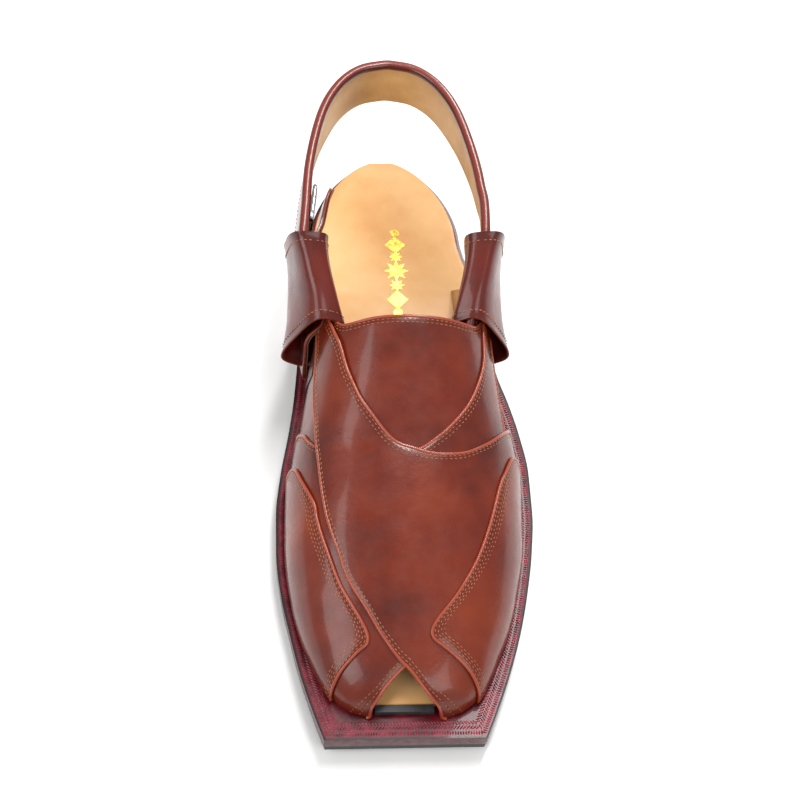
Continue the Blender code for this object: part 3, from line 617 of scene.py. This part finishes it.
@dataclass
class Patch:
    """A piece of leather on the last between two drawn edges."""

    name: str
    first: Rows
    second: Rows
    outside_mm: float
    thick_mm: float
    wide: int = 40
    deep: int = 130

    def flat(self, u: float, v: float) -> Vector:
        """The flat place at u across the piece and v along it."""
        return edge_spot(self.first, v).lerp(edge_spot(self.second, v), u)

    def width_mm(self, v: float) -> float:
        """The piece's width at v, in mm."""
        return (edge_spot(self.first, v) - edge_spot(self.second, v)).length / MM

    def spot(self, u: float, v: float) -> tuple[Vector, float]:
        """Point of the outer face and its distance from the edge.

        Args:
            u: across.
            v: along.

        Returns:
            The point, and the distance in mm.
        """
        place = self.flat(u, v)
        edge = min(u, 1 - u) * self.width_mm(v)
        share, across = place.x / SOLE_LENGTH, place.y / UPPER_SPREAD
        wave = noise.noise(Vector((share * 16, across * 7, self.outside_mm)))
        off = self.outside_mm + 0.30 * wave * min(edge / 6, 1.0) - 0.45 * math.exp(-edge / 0.8)
        return last_point(share, across, off * MM), edge

    def build(self) -> bpy.types.Object:
        """Make the leather with its real thickness.

        Returns:
            The piece.
        """
        piece = mapped_grid(self.name, self.wide, self.deep, self.spot)
        edit(piece, lambda: bpy.ops.mesh.remove_doubles(threshold=0.00002))
        total = sum((face.normal.z * face.area for face in piece.data.polygons))
        if total < 0:
            edit(piece, bpy.ops.mesh.flip_normals)
        modify(piece, "SOLIDIFY", thickness=self.thick_mm * MM, offset=-1.0)
        modify(piece, "BEVEL", width=0.3 * MM, segments=2, limit_method="ANGLE",
               angle_limit=math.radians(50))
        return piece

    def seam(self, distance_mm: float, from_second: bool = False) -> list[tuple[Vector, Vector]]:
        """Points and normals along a seam that runs beside one edge.

        Args:
            distance_mm: how far from the edge.
            from_second: whether it runs beside the second edge.

        Returns:
            Point and outward direction at each step.
        """
        made = []
        for k in range(6, 315):
            v = k / 320
            width = self.width_mm(v)
            if width < distance_mm * 2 + 1.0:
                continue
            u = distance_mm / width
            place = self.flat(1 - u if from_second else u, v)
            share, across = place.x / SOLE_LENGTH, place.y / UPPER_SPREAD
            spot = last_point(share, across, self.outside_mm * MM)
            above = last_point(share, across, (self.outside_mm + 1) * MM)
            made.append((spot, (above - spot).normalized()))
        return made


def walk(line: list[tuple[Vector, Vector]], pitch_mm: float) -> list[Stop]:
    """Even stops along a line.

    Args:
        line: point and normal at each step.
        pitch_mm: distance between stops.

    Returns:
        Place, direction and normal of each stop.
    """
    stops, left = [], pitch_mm * MM / 2
    for (a, normal), (b, _) in zip(line, line[1:]):
        gap = b - a
        if gap.length > 12 * MM or gap.length < 1e-7:
            continue
        at = left
        while at <= gap.length:
            stops.append((a + gap * (at / gap.length), gap.normalized(), normal))
            at += pitch_mm * MM
        left = at - gap.length
    return stops


def repeat(name: str, stops: list[Stop], size_mm: tuple[float, float, float],
           turn_deg: float = 0.0) -> bpy.types.Object:
    """One small rounded body, modelled once and copied to every stop.

    Args:
        name: the piece's name.
        stops: place, direction and normal of each copy.
        size_mm: length, width and height.
        turn_deg: turn of each copy about its normal.

    Returns:
        The joined piece.
    """
    bpy.ops.object.select_all(action="DESELECT")
    bpy.ops.mesh.primitive_uv_sphere_add(segments=6, ring_count=4, radius=0.5)
    seed = bpy.context.active_object
    corners = [(v.co.z * size_mm[0] * MM, v.co.x * size_mm[1] * MM, v.co.y * size_mm[2] * MM)
               for v in seed.data.vertices]
    faces = [tuple(face.vertices) for face in seed.data.polygons]
    points, shapes = [], []
    cosine, sine = math.cos(math.radians(turn_deg)), math.sin(math.radians(turn_deg))
    for place, ahead, normal in stops:
        side = normal.cross(ahead).normalized()
        ahead = side.cross(normal).normalized()
        ahead, side = ahead * cosine + side * sine, side * cosine - ahead * sine
        start = len(points)
        points += [place + ahead * x + side * y + normal * z for x, y, z in corners]
        shapes += [tuple(start + i for i in face) for face in faces]
    seed.data.clear_geometry()
    seed.data.from_pydata(points, [], shapes)
    seed.name = name
    edit(seed, lambda: bpy.ops.mesh.normals_make_consistent(inside=False))
    return seed


@dataclass
class Sole:
    """Rubber, welt and insole with the stamped ornament."""

    rib_pitch_mm: float = 1.4
    insole_margin: float = 2.2 * MM

    def slab(self, name: str, start: float, end: float, edge: Callable[[float, int], float],
             top: Callable[[float], float], thick: float) -> bpy.types.Object:
        """A sole layer of even thickness.

        Args:
            name: the piece's name.
            start: first share of the sole's length.
            end: last share.
            edge: X of the layer's edge at a share and side.
            top: height of its upper face.
            thick: its thickness.

        Returns:
            The piece.
        """
        def place(u: float, v: float) -> tuple[Vector, float]:
            share = start + (end - start) * (1 - math.cos(v * math.pi)) / 2
            x = edge(share, -1) + (edge(share, 1) - edge(share, -1)) * u
            rim = min(x - edge(share, -1), edge(share, 1) - x, (share - start) * SOLE_LENGTH,
                      (end - share) * SOLE_LENGTH * 1.5)
            return Vector((x, along(share), top(share))) + SHIFT, rim / MM

        piece = mapped_grid(name, 48, 130, place)
        edit(piece, lambda: bpy.ops.mesh.extrude_region_move(
            TRANSFORM_OT_translate={"value": (0.0, 0.0, -thick)}))
        edit(piece, lambda: bpy.ops.mesh.normals_make_consistent(inside=False))
        modify(piece, "BEVEL", width=0.6 * MM, segments=3, limit_method="ANGLE",
               angle_limit=math.radians(50))
        return piece

    def insole_edge(self, share: float, side: int) -> float:
        """X of the insole's edge at a share and side."""
        toe = min(max((0.117 - share) / (0.117 - LAST[0][0]), 0.0), 1.0)
        inside = column(LAST, 1 if side < 0 else 2, share) * SOLE_WIDTH
        inside -= self.insole_margin + 4.5 * MM * toe
        outside = abs(sole_edge(share, side)) - self.insole_margin
        front = 0.648 if side < 0 else 0.556
        blend = min(max((share - front) / 0.025 - 0.5, 0.0), 1.0)
        return side * (inside + (outside - inside) * blend)

    def rim_line(self, inset_mm: float) -> list[tuple[Vector, Vector]]:
        """A line round the welt at a distance from its edge, with upward normals."""
        points = []
        for side in (-1, 1):
            arm = []
            for k in range(260):
                share = inset_mm * MM / SOLE_LENGTH + 0.955 * k / 259
                x = sole_edge(share, side) - side * inset_mm * MM
                arm.append(Vector((x, along(share), welt_top(share))) + SHIFT)
            points += arm if side > 0 else arm[::-1]
        front = points[259:261]
        bridge = [front[0].lerp(front[1], k / 12) for k in range(1, 12)]
        points[260:260] = bridge
        return [(point, Vector((0, 0, 1))) for point in points]

    def build(self) -> None:
        """Make and dress every layer of the sole."""
        done(self.slab("welt", 0.0, 0.997, sole_edge, welt_top, WELT), WELT_TOP, Slot.WELT,
             "midsole_welt")
        # the knurls and ribs take the rib finish, painted brighter as glints on their tops
        done(repeat("welt_knurls", walk(self.rim_line(2.4), self.rib_pitch_mm * 0.8),
                    (2.2, 0.85, 0.7), 90), RIB, Slot.WELT)
        for number, (inset, turn) in enumerate(((4.9, 48), (7.2, -48))):
            ribs = repeat(f"welt_ribs_{number}", walk(self.rim_line(inset), self.rib_pitch_mm),
                          (2.9, 0.8, 0.6), turn)
            done(ribs, RIB, Slot.WELT)
        front = LAST[0][0] + 3.7 * MM / SOLE_LENGTH
        done(self.slab("insole_lining", front, 0.994, self.insole_edge, insole_top, INSOLE),
             INSOLE_LEATHER, Slot.TAN, "insole")
        self.ornament()
        for node in ("outsole", "heel_lift", "toe_rand"):
            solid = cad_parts[node]
            solid.data.materials.clear()
            solid.data.materials.append(material_of(BLACK_RUBBER))

    def ornament(self) -> None:
        """A column of plain lozenges, stars and dots in gold foil on the insole's heel."""
        made = []
        for y_mm, size_mm, corners, depth in (
                (61, 2.2, 16, 1.0), (68, 5.0, 4, 1.0), (76, 3.6, 16, 0.55), (84, 6.0, 16, 0.5),
                (92, 3.6, 16, 0.55), (99, 5.0, 4, 1.0), (106, 2.2, 16, 1.0)):
            bpy.ops.object.select_all(action="DESELECT")
            bpy.ops.mesh.primitive_cylinder_add(vertices=corners, radius=size_mm * MM,
                                                depth=0.16 * MM)
            mark = bpy.context.active_object
            for vertex in mark.data.vertices:
                reach = depth if vertex.index // 2 % 2 else 1.0
                x, y = vertex.co.x * reach + 5 * MM, vertex.co.y * reach + y_mm * MM
                z = insole_top(y / SOLE_LENGTH + 0.5) + 0.06 * MM + vertex.co.z
                vertex.co = Vector((x, y, z)) + SHIFT
            made.append(mark)
        bpy.ops.object.select_all(action="DESELECT")
        for mark in made:
            mark.select_set(True)
        bpy.context.view_layer.objects.active = made[0]
        bpy.ops.object.join()
        made[0].name = "gold_ornament"
        done(made[0], GOLD, Slot.TAN)


def oval(turn: float, squareness: float) -> tuple[float, float]:
    """A rounded box's two coordinates at an angle."""
    return tuple(math.copysign(abs(part) ** (2 / squareness), part)
                 for part in (math.cos(turn), math.sin(turn)))


@dataclass
class Strip:
    """A body of even section along a route of places and width directions."""

    name: str
    route: list[tuple[Vector, Vector]]
    steps: int = 5
    frames: list[Stop] = field(default_factory=list)

    def __post_init__(self) -> None:
        """Work out the frames along the route."""
        middles = smooth_path([spot for spot, _ in self.route], self.steps)
        wides = smooth_path([wide for _, wide in self.route], self.steps)
        for i, middle in enumerate(middles):
            ahead = middles[min(i + 1, len(middles) - 1)] - middles[max(i - 1, 0)]
            wide = wides[i] - ahead * (wides[i].dot(ahead) / ahead.length_squared)
            wide.normalize()
            self.frames.append((middle, wide, ahead.normalized().cross(wide)))

    def body(self, name: str, wide_at: float, half_wide: float, thick_at: float,
             half_thick: float, squareness: float = 6.0, round_end: float = 0.0,
             around: int = 36) -> bpy.types.Object:
        """One layer of the strip.

        Args:
            name: the piece's name.
            wide_at: middle of the section along the width.
            half_wide: half its width.
            thick_at: middle of the section along the thickness.
            half_thick: half its thickness.
            squareness: 2 for a round section, more for a flat one.
            round_end: length of the rounded far end.
            around: faces round the section.

        Returns:
            The closed piece.
        """
        total = [0.0]
        for a, b in zip(self.frames, self.frames[1:]):
            total.append(total[-1] + (b[0] - a[0]).length)

        def place(u: float, v: float) -> tuple[Vector, float]:
            i = int(round(v * (len(self.frames) - 1)))
            middle, wide, thick = self.frames[i]
            rise, reach = oval(2 * math.pi * u, squareness)
            keep = 1.0
            left = total[-1] - total[i]
            if left < round_end:
                keep = math.sqrt(max(1 - (1 - left / round_end) ** 2, 0.004))
            spot = middle + wide * (wide_at + half_wide * rise * keep)
            return (spot + thick * (thick_at + half_thick * reach),
                    max((1 - abs(rise)) * half_wide / MM, 0.2))

        piece = mapped_grid(name, around, len(self.frames) - 1, place)
        edit(piece, lambda: bpy.ops.mesh.remove_doubles(threshold=0.000002),
             lambda: bpy.ops.mesh.select_all(action="DESELECT"),
             lambda: bpy.ops.mesh.select_non_manifold(),
             lambda: bpy.ops.mesh.fill_holes(sides=0),
             lambda: bpy.ops.mesh.select_all(action="SELECT"),
             lambda: bpy.ops.mesh.normals_make_consistent(inside=False))
        return piece

    def seam(self, wide_at: float, thick_at: float) -> list[tuple[Vector, Vector]]:
        """Points along a face of the strip, with their outward directions."""
        sign = math.copysign(1.0, thick_at)
        return [(middle + wide * wide_at + thick * thick_at, thick * sign)
                for middle, wide, thick in self.frames]


@dataclass
class Vamp:
    """Crossed straps, instep panel and the two side overlays, with their seams."""

    stitch_pitch_mm: float = 2.2
    stitch_mm: tuple[float, float, float] = (1.5, 0.42, 0.4)
    roll_mm: float = 1.5
    rows: list[list[tuple[Vector, Vector]]] = field(default_factory=list)

    def build(self) -> None:
        """Make and dress the vamp."""
        hidden: Rows = ((0.370, 1.0), (0.370, 0.75), (0.370, 0.5), (0.370, 0.25), (0.370, 0.0))
        panel = Patch("instep_panel", PANEL_REAR, hidden, 1.0, 1.0, wide=34, deep=120)
        under = Patch("under_strap", UNDER_UPPER, UNDER_LOWER, 2.1, 1.2)
        over = Patch("over_strap", OVER_UPPER, OVER_LOWER, 3.2, 1.4)
        done(panel.build(), CHESTNUT, Slot.CHESTNUT)
        done(under.build(), CHESTNUT, Slot.CHESTNUT)
        done(over.build(), CHESTNUT, Slot.CHESTNUT, "upper")
        self.rows += [panel.seam(1.6), panel.seam(3.0)]
        for strap in (under, over):
            for distance in (1.6, 3.0):
                self.rows += [strap.seam(distance), strap.seam(distance, True)]
        for name, edge, across, outside in (("inner", INNER_OVERLAY, 0.0, 3.4),
                                            ("outer", OUTER_OVERLAY, 1.0, 4.4)):
            start, end = edge[0][0], edge[-1][0]
            foot = tuple((start + (end - start) * k / 8, across) for k in range(9))
            overlay = Patch(f"overlay_{name}", edge, foot, outside, 1.3, wide=24, deep=120)
            done(overlay.build(), CHESTNUT, Slot.CHESTNUT, f"side_overlay_{name}")
            self.rows += [overlay.seam(distance) for distance in (1.5, 3.0, 4.5, 6.0)]
            self.roll(overlay, False)
        self.roll(panel, False)
        for strap in (under, over):
            self.roll(strap, False)
            self.roll(strap, True)
        stops = [stop for row in self.rows for stop in walk(row, self.stitch_pitch_mm)]
        done(repeat("vamp_stitches", stops, self.stitch_mm), THREAD, Slot.CHESTNUT)

    def roll(self, patch: Patch, from_second: bool) -> None:
        """The thin roll that finishes one edge of a piece of leather, paler partly in its own
        colour and partly as a painted highlight.
        """
        line = patch.seam(0.35, from_second)[::2]
        name = f"{patch.name}_roll_{int(from_second)}"
        strip = Strip(name, [(spot - normal * 0.55 * MM, normal) for spot, normal in line], steps=1)
        radius = self.roll_mm / 2 * MM
        body = strip.body(name, 0.0, radius, 0.0, radius, squareness=2.0, around=12)
        done(body, ROLLED_EDGE, Slot.CHESTNUT)


def sleeve_frame(s: float, side: int) -> tuple[Vector, Vector, Vector, float, float]:
    """Where a sleeve is.

    Args:
        s: 0 at the front mouth, 1 at the rear one.
        side: -1 inner, 1 outer.

    Returns:
        Middle, tall and wide directions, half height and half width.
    """
    share = SLEEVE[0][0] + (SLEEVE[-1][0] - SLEEVE[0][0]) * s
    out = column(SLEEVE, 2, share) * SLEEVE_SPREAD / 2
    height = RUBBER + GAP + WELT + column(SLEEVE, 1, share) * INSTEP_HEIGHT
    middle = Vector((SLEEVE_CENTRE + side * out, along(share), height)) + SHIFT
    lean, rake = (math.radians(column(SLEEVE, n, share)) for n in (5, 6))
    tall = Vector((-side * math.sin(lean), -math.sin(rake), math.cos(lean))).normalized()
    wide = Vector((side * math.cos(lean), 0.0, math.sin(lean))).normalized()
    return (middle, tall, wide, column(SLEEVE, 3, share) * SLEEVE_TALL / 2,
            column(SLEEVE, 4, share) * SLEEVE_WIDE / 2)


@dataclass
class Sleeves:
    """The two flattened leather sleeves with flared mouths, and the wings below them."""

    sides: int = 72
    profile: int = 48

    def skin(self, s: float, side: int, turn: float, shrink: float) -> Vector:
        """A point of a sleeve's wall, drawn in by shrink."""
        middle, tall, wide, half_tall, half_wide = sleeve_frame(min(max(s, 0.0), 1.0), side)
        rise, reach = oval(turn, SLEEVE_SQUARENESS)
        step = sleeve_frame(0.55, side)[0] - sleeve_frame(0.45, side)[0]
        over = s - min(max(s, 0.0), 1.0)
        return (middle + step * over * 10 + tall * (half_tall - shrink) * rise
                + wide * (half_wide - shrink) * reach)

    def sleeve(self, side: int) -> bpy.types.Object:
        """One sleeve as a ring bent from a torus: out along the wall, back inside."""
        bpy.ops.object.select_all(action="DESELECT")
        bpy.ops.mesh.primitive_torus_add(major_segments=self.sides, minor_segments=self.profile)
        piece = bpy.context.active_object
        piece.name = "inner_sleeve" if side < 0 else "outer_sleeve"
        rim = piece.data.attributes.new("edge_mm", "FLOAT", "POINT")
        for vertex in piece.data.vertices:
            turn = 2 * math.pi * (vertex.index // self.profile) / self.sides
            t = 2 * math.pi * (vertex.index % self.profile) / self.profile
            s = 0.5 - 0.5 * math.cos(t)
            lip = max(0.0, (abs(s - 0.5) - 0.40) / 0.10)
            depth = SLEEVE_WALL / 2 * (1 - oval(t, 5.0)[1])
            vertex.co = self.skin(s, side, turn, depth - 0.9 * MM * lip**2)
            rim.data[vertex.index].value = min(s, 1 - s) * 42 + (0.0 if lip > 0.99 else 0.4)
        edit(piece, lambda: bpy.ops.mesh.normals_make_consistent(inside=False))
        return piece

    def wing(self, side: int, first: float, last: float, name: str, inset: float,
             finish: Finish) -> None:
        """A wing from the insole's edge up to the sleeve.

        Args:
            side: -1 inner, 1 outer.
            first: where it starts, in rows of the wing table.
            last: where it ends.
            name: the piece's name.
            inset: how far towards the foot it lies.
            finish: its finish.
        """
        feet, heads = [], []
        for foot_at, foot_out, head_at, head_out, head_up in WING:
            floor = insole_top(foot_at) + GAP
            half = side * SLEEVE_SPREAD / 2
            feet.append(Vector((SLEEVE_CENTRE + foot_out * half, along(foot_at), floor)) + SHIFT)
            heads.append(Vector((SLEEVE_CENTRE + head_out * half, along(head_at),
                                 floor + head_up * INSTEP_HEIGHT)) + SHIFT)
        root = [last_point(WING[0][0], 0.5 + side * (0.5 - a), 0.75 * MM) for a in (0.0, 0.12)]
        root[0].z = feet[0].z
        feet[0], heads[0] = root
        feet, heads = smooth_path(feet, 10), smooth_path(heads, 10)

        def place(u: float, v: float) -> tuple[Vector, float]:
            at = int(round((first + (last - first) * v) * 10))
            foot, head = feet[at], heads[at]
            bow = Vector((side * (1.2 * math.sin(u * math.pi) * MM - inset), 0, 0))
            reach = (head - foot).length / MM
            return foot.lerp(head, u) + bow, min(u, 1 - u) * reach

        piece = mapped_grid(name, 16, int((last - first) * 10), place)
        modify(piece, "SOLIDIFY", thickness=1.3 * MM, offset=0.0)
        edit(piece, lambda: bpy.ops.mesh.normals_make_consistent(inside=False))
        done(piece, finish, Slot.MAROON)

    def build(self) -> None:
        """Make and dress the sleeves, their seams and the wings."""
        for side, name in ((-1, "inner"), (1, "outer")):
            done(self.sleeve(side), MAROON, Slot.MAROON)
            rows = []
            for s in (0.10, 0.90):
                ring = []
                for k in range(121):
                    turn = 2 * math.pi * k / 120
                    spot = self.skin(s, side, turn, 0.0)
                    away = self.skin(s, side, turn, -1 * MM) - spot
                    ring.append((spot, away.normalized()))
                rows += walk(ring, 2.2)
            done(repeat(f"{name}_sleeve_stitches", rows, (1.5, 0.5, 0.4)), THREAD, Slot.MAROON)
            # the wing's near-black brown is partly painted shade under the sleeve
            self.wing(side, 0.0, 4.0, f"{name}_wing", 0.0, DARK_WING_AND_PAINTED_SHADE)
            self.wing(side, 2.4, 4.0, f"{name}_wing_lining", 1.6 * MM, TAN_LINING)


@dataclass
class Fastening:
    """Heel strap, buckle strap and buckle frame."""

    wire_mm: float = 2.2
    buckle_mm: float = 18.0

    def heel_route(self) -> list[tuple[Vector, Vector]]:
        """Places and width directions from the inner sleeve round the heel to the outer one."""
        route: list[tuple[Vector, Vector]] = []
        back = insole_top(0.99) + HEEL_STRAP_RISE
        for side, end in ((-1, 0.42), (1, 0.12)):
            arm = []
            for k in range(8):
                s = end + (1 - end) * k / 7
                middle, tall, wide, _, _ = sleeve_frame(s, side)
                near, far = HEEL_STRAP_OUTWARD[side]
                arm.append((middle + wide * (near + (far - near) * s), tall))
            start = sleeve_frame(1.0, side)[0].z - SHIFT.z
            for k in range(14):
                turn = (k + 1) / 15
                share = 0.743 + (1.020 - 0.743) * math.sin(turn * math.pi / 2)
                lift = math.sin(min((share - 0.723) / 0.297, 1.0) * math.pi / 2)
                out = column(HEEL_LOOP, 1, share) * SLEEVE_SPREAD / 2
                spot = Vector((SLEEVE_CENTRE * (1 - lift) + side * out, along(share),
                               start + (back - start) * lift)) + SHIFT
                tall = sleeve_frame(1.0, side)[1].lerp(Vector((0, 0, 1)), min(turn * 2, 1.0))
                arm.append((spot, tall.normalized()))
            if side < 0:
                route = arm + [(Vector((0.0, along(1.020), back)) + SHIFT, Vector((0, 0, 1)))]
            else:
                route += arm[::-1]
        return route

    def buckle_route(self) -> list[tuple[Vector, Vector]]:
        """Places and width directions from the welt through the inner sleeve to the tab."""
        route = []
        half = SLEEVE_SPREAD / 2
        mouth = sleeve_frame(0.0, -1)[0].z - SHIFT.z
        for share, up, out, turn in BUCKLE_RISE:
            floor = welt_top(share) + GAP * 2
            spot = Vector((SLEEVE_CENTRE - out * half, along(share), floor + up * (mouth - floor)))
            turn = math.radians(turn)
            route.append((spot + SHIFT, Vector((0.15, -math.sin(turn), math.cos(turn)))))
        for k in range(6):
            s = 0.26 + 0.74 * k / 5
            middle, tall, wide, _, _ = sleeve_frame(s, -1)
            near, far = BUCKLE_STRAP_INWARD
            route.append((middle - wide * (near + (far - near) * s), tall))
        end = sleeve_frame(1.0, -1)[0] - SHIFT
        for share, out, drop in TAB:
            z = end.z + (along(share) - end.y) * 0.25 - drop * BUCKLE_STRAP_WIDTH
            spot = Vector((SLEEVE_CENTRE - out * half, along(share), z)) + SHIFT
            route.append((spot, Vector((0.1, -0.3, 1)).normalized()))
        return route

    def build(self) -> None:
        """Make and dress the straps and the buckle."""
        half = HEEL_STRAP_WIDTH / 2
        strap = Strip("heel_strap", self.heel_route())
        done(strap.body("heel_strap_leather", 0.0, half, -0.7 * MM, 1.1 * MM), MAROON,
             Slot.MAROON, "heel_strap")
        done(strap.body("heel_strap_lining", -0.4 * MM, half - 0.8 * MM, 1.1 * MM, 0.7 * MM),
             TAN_LINING, Slot.TAN)
        done(strap.body("heel_strap_roll", half - 1.2 * MM, 2.1 * MM, 0.0, 2.2 * MM, 2.2),
             MAROON, Slot.MAROON)
        rows = walk(strap.seam(half - 4.6 * MM, -1.8 * MM), 2.2)
        rows += walk(strap.seam(1.8 * MM - half, -1.8 * MM), 2.2)
        done(repeat("heel_strap_stitches", rows, (1.5, 0.5, 0.4)), THREAD, Slot.MAROON)
        tail = Strip("buckle_strap", self.buckle_route())
        wide = BUCKLE_STRAP_WIDTH / 2
        done(tail.body("buckle_strap_leather", 0.0, wide, -0.3 * MM, 0.9 * MM, round_end=8 * MM),
             MAROON, Slot.MAROON, "buckle_strap")
        done(tail.body("buckle_strap_flesh", 0.0, wide - 0.2 * MM, 0.9 * MM, 0.3 * MM,
                       round_end=8 * MM), FLESH, Slot.MAROON)
        self.buckle()

    def buckle(self) -> None:
        """The rounded steel wire frame beside the inner sleeve's rear mouth."""
        middle, _, wide, _, _ = sleeve_frame(1.0, -1)
        ahead = Vector((0.12, 1.0, 0.12)).normalized()
        up = Vector((0.07, 0, 1)).normalized()
        spot = middle + ahead * (self.buckle_mm / 2 + 3.5) * MM
        strap_face = HEEL_STRAP_OUTWARD[-1][1] - HEEL_STRAP_THICK / 2
        tab_face = -BUCKLE_STRAP_INWARD[1] + BUCKLE_STRAP_THICK / 2
        spot += wide * (strap_face + tab_face) / 2
        radius, bend = self.wire_mm / 2 * MM, 4 * MM
        long, tall = self.buckle_mm / 2 * MM, HEEL_STRAP_WIDTH / 2 + 1.4 * MM - radius
        points = []
        for cx, cz, start in ((1, 1, 0), (-1, 1, 90), (-1, -1, 180), (1, -1, 270)):
            for k in range(11):
                turn = math.radians(start + 9 * k)
                points.append(spot + ahead * (cx * (long - bend) + math.cos(turn) * bend)
                              + up * (cz * (tall - bend) + math.sin(turn) * bend))
        bpy.ops.object.select_all(action="DESELECT")
        bpy.ops.mesh.primitive_torus_add(major_segments=len(points), minor_segments=14)
        piece = bpy.context.active_object
        piece.name = "buckle_wire"
        count = len(points)
        for vertex in piece.data.vertices:
            i, j = divmod(vertex.index, 14)
            step = (points[(i + 1) % count] - points[i - 1]).normalized()
            flat = ahead.cross(up).normalized()
            out = step.cross(flat)
            turn = 2 * math.pi * j / 14
            vertex.co = points[i] + (flat * math.cos(turn) + out * math.sin(turn)) * radius
        edit(piece, lambda: bpy.ops.mesh.normals_make_consistent(inside=False))
        done(piece, STEEL, Slot.STEEL, "buckle_frame")


@dataclass
class Studio:
    """Pale floor, soft lights and the camera at the photograph's angle."""

    focal_mm: float = 92.65
    focal_px: float = 2084.7

    def light(self, name: str, place: tuple[float, float, float], size: tuple[float, float],
              power: float) -> None:
        """A soft rectangular light that faces the shoe.

        Args:
            name: its name.
            place: where it hangs, in metres.
            size: its two sides.
            power: watts.
        """
        bpy.ops.object.light_add(type="AREA", location=place)
        lamp = bpy.context.active_object
        lamp.name = name
        lamp.data.shape = "RECTANGLE"
        lamp.data.size, lamp.data.size_y = size
        lamp.data.energy = power
        aim = Vector((0.0, 0.0, 0.03)) - Vector(place)
        lamp.rotation_euler = aim.to_track_quat("-Z", "Y").to_euler()

    def build(self) -> None:
        """Make the floor, the lights and the camera."""
        bpy.ops.object.select_all(action="DESELECT")
        bpy.ops.mesh.primitive_plane_add(size=8.0)
        floor = bpy.context.active_object
        floor.name = "floor"
        paper = Plain("matt_white_paper", "#f0f0ef", "#f6f6f5", 0.8, patch_mm=60.0)
        floor.data.materials.append(material_of(paper))
        self.light("long_softbox", (0.30, 0.75, 1.25), (0.22, 1.3), 24.0)
        self.light("left_fill", (-1.2, -0.5, 1.2), (1.0, 1.0), 12.0)
        self.light("front_fill", (0.7, -1.2, 1.4), (1.0, 1.0), 10.0)
        bpy.context.scene.view_settings.view_transform = "Standard"
        world = bpy.context.scene.world or bpy.data.worlds.new("studio")
        bpy.context.scene.world = world
        world.use_nodes = True
        world.node_tree.nodes["Background"].inputs["Color"].default_value = (1, 1, 1, 1)
        world.node_tree.nodes["Background"].inputs["Strength"].default_value = 0.55
        bpy.ops.object.camera_add(location=Vector((-65.1, -487.2, 840.1)) * MM + SHIFT)
        camera = bpy.context.active_object
        ahead = Vector((0.0034, 0.5075, -0.8616)).normalized()
        right = ahead.cross(Vector((0, 0, 1))).normalized()
        above = right.cross(ahead)
        aim = ahead + right * (553 - 405) / self.focal_px + above * (405 - 373) / self.focal_px
        level = ahead.to_track_quat("-Z", "Y")
        camera.rotation_euler = (ahead.rotation_difference(aim) @ level).to_euler()
        camera.data.sensor_width = 36.0
        camera.data.lens = self.focal_mm
        bpy.context.scene.camera = camera


def main() -> None:
    """Build the shoe piece by piece, then the studio."""
    logging.basicConfig(level=logging.INFO)
    for part in (Sole(), Vamp(), Sleeves(), Fastening(), Studio()):
        part.build()
        LOG.info("built %s", type(part).__name__)
    bpy.context.view_layer.update()


if __name__ == "__main__":
    main()
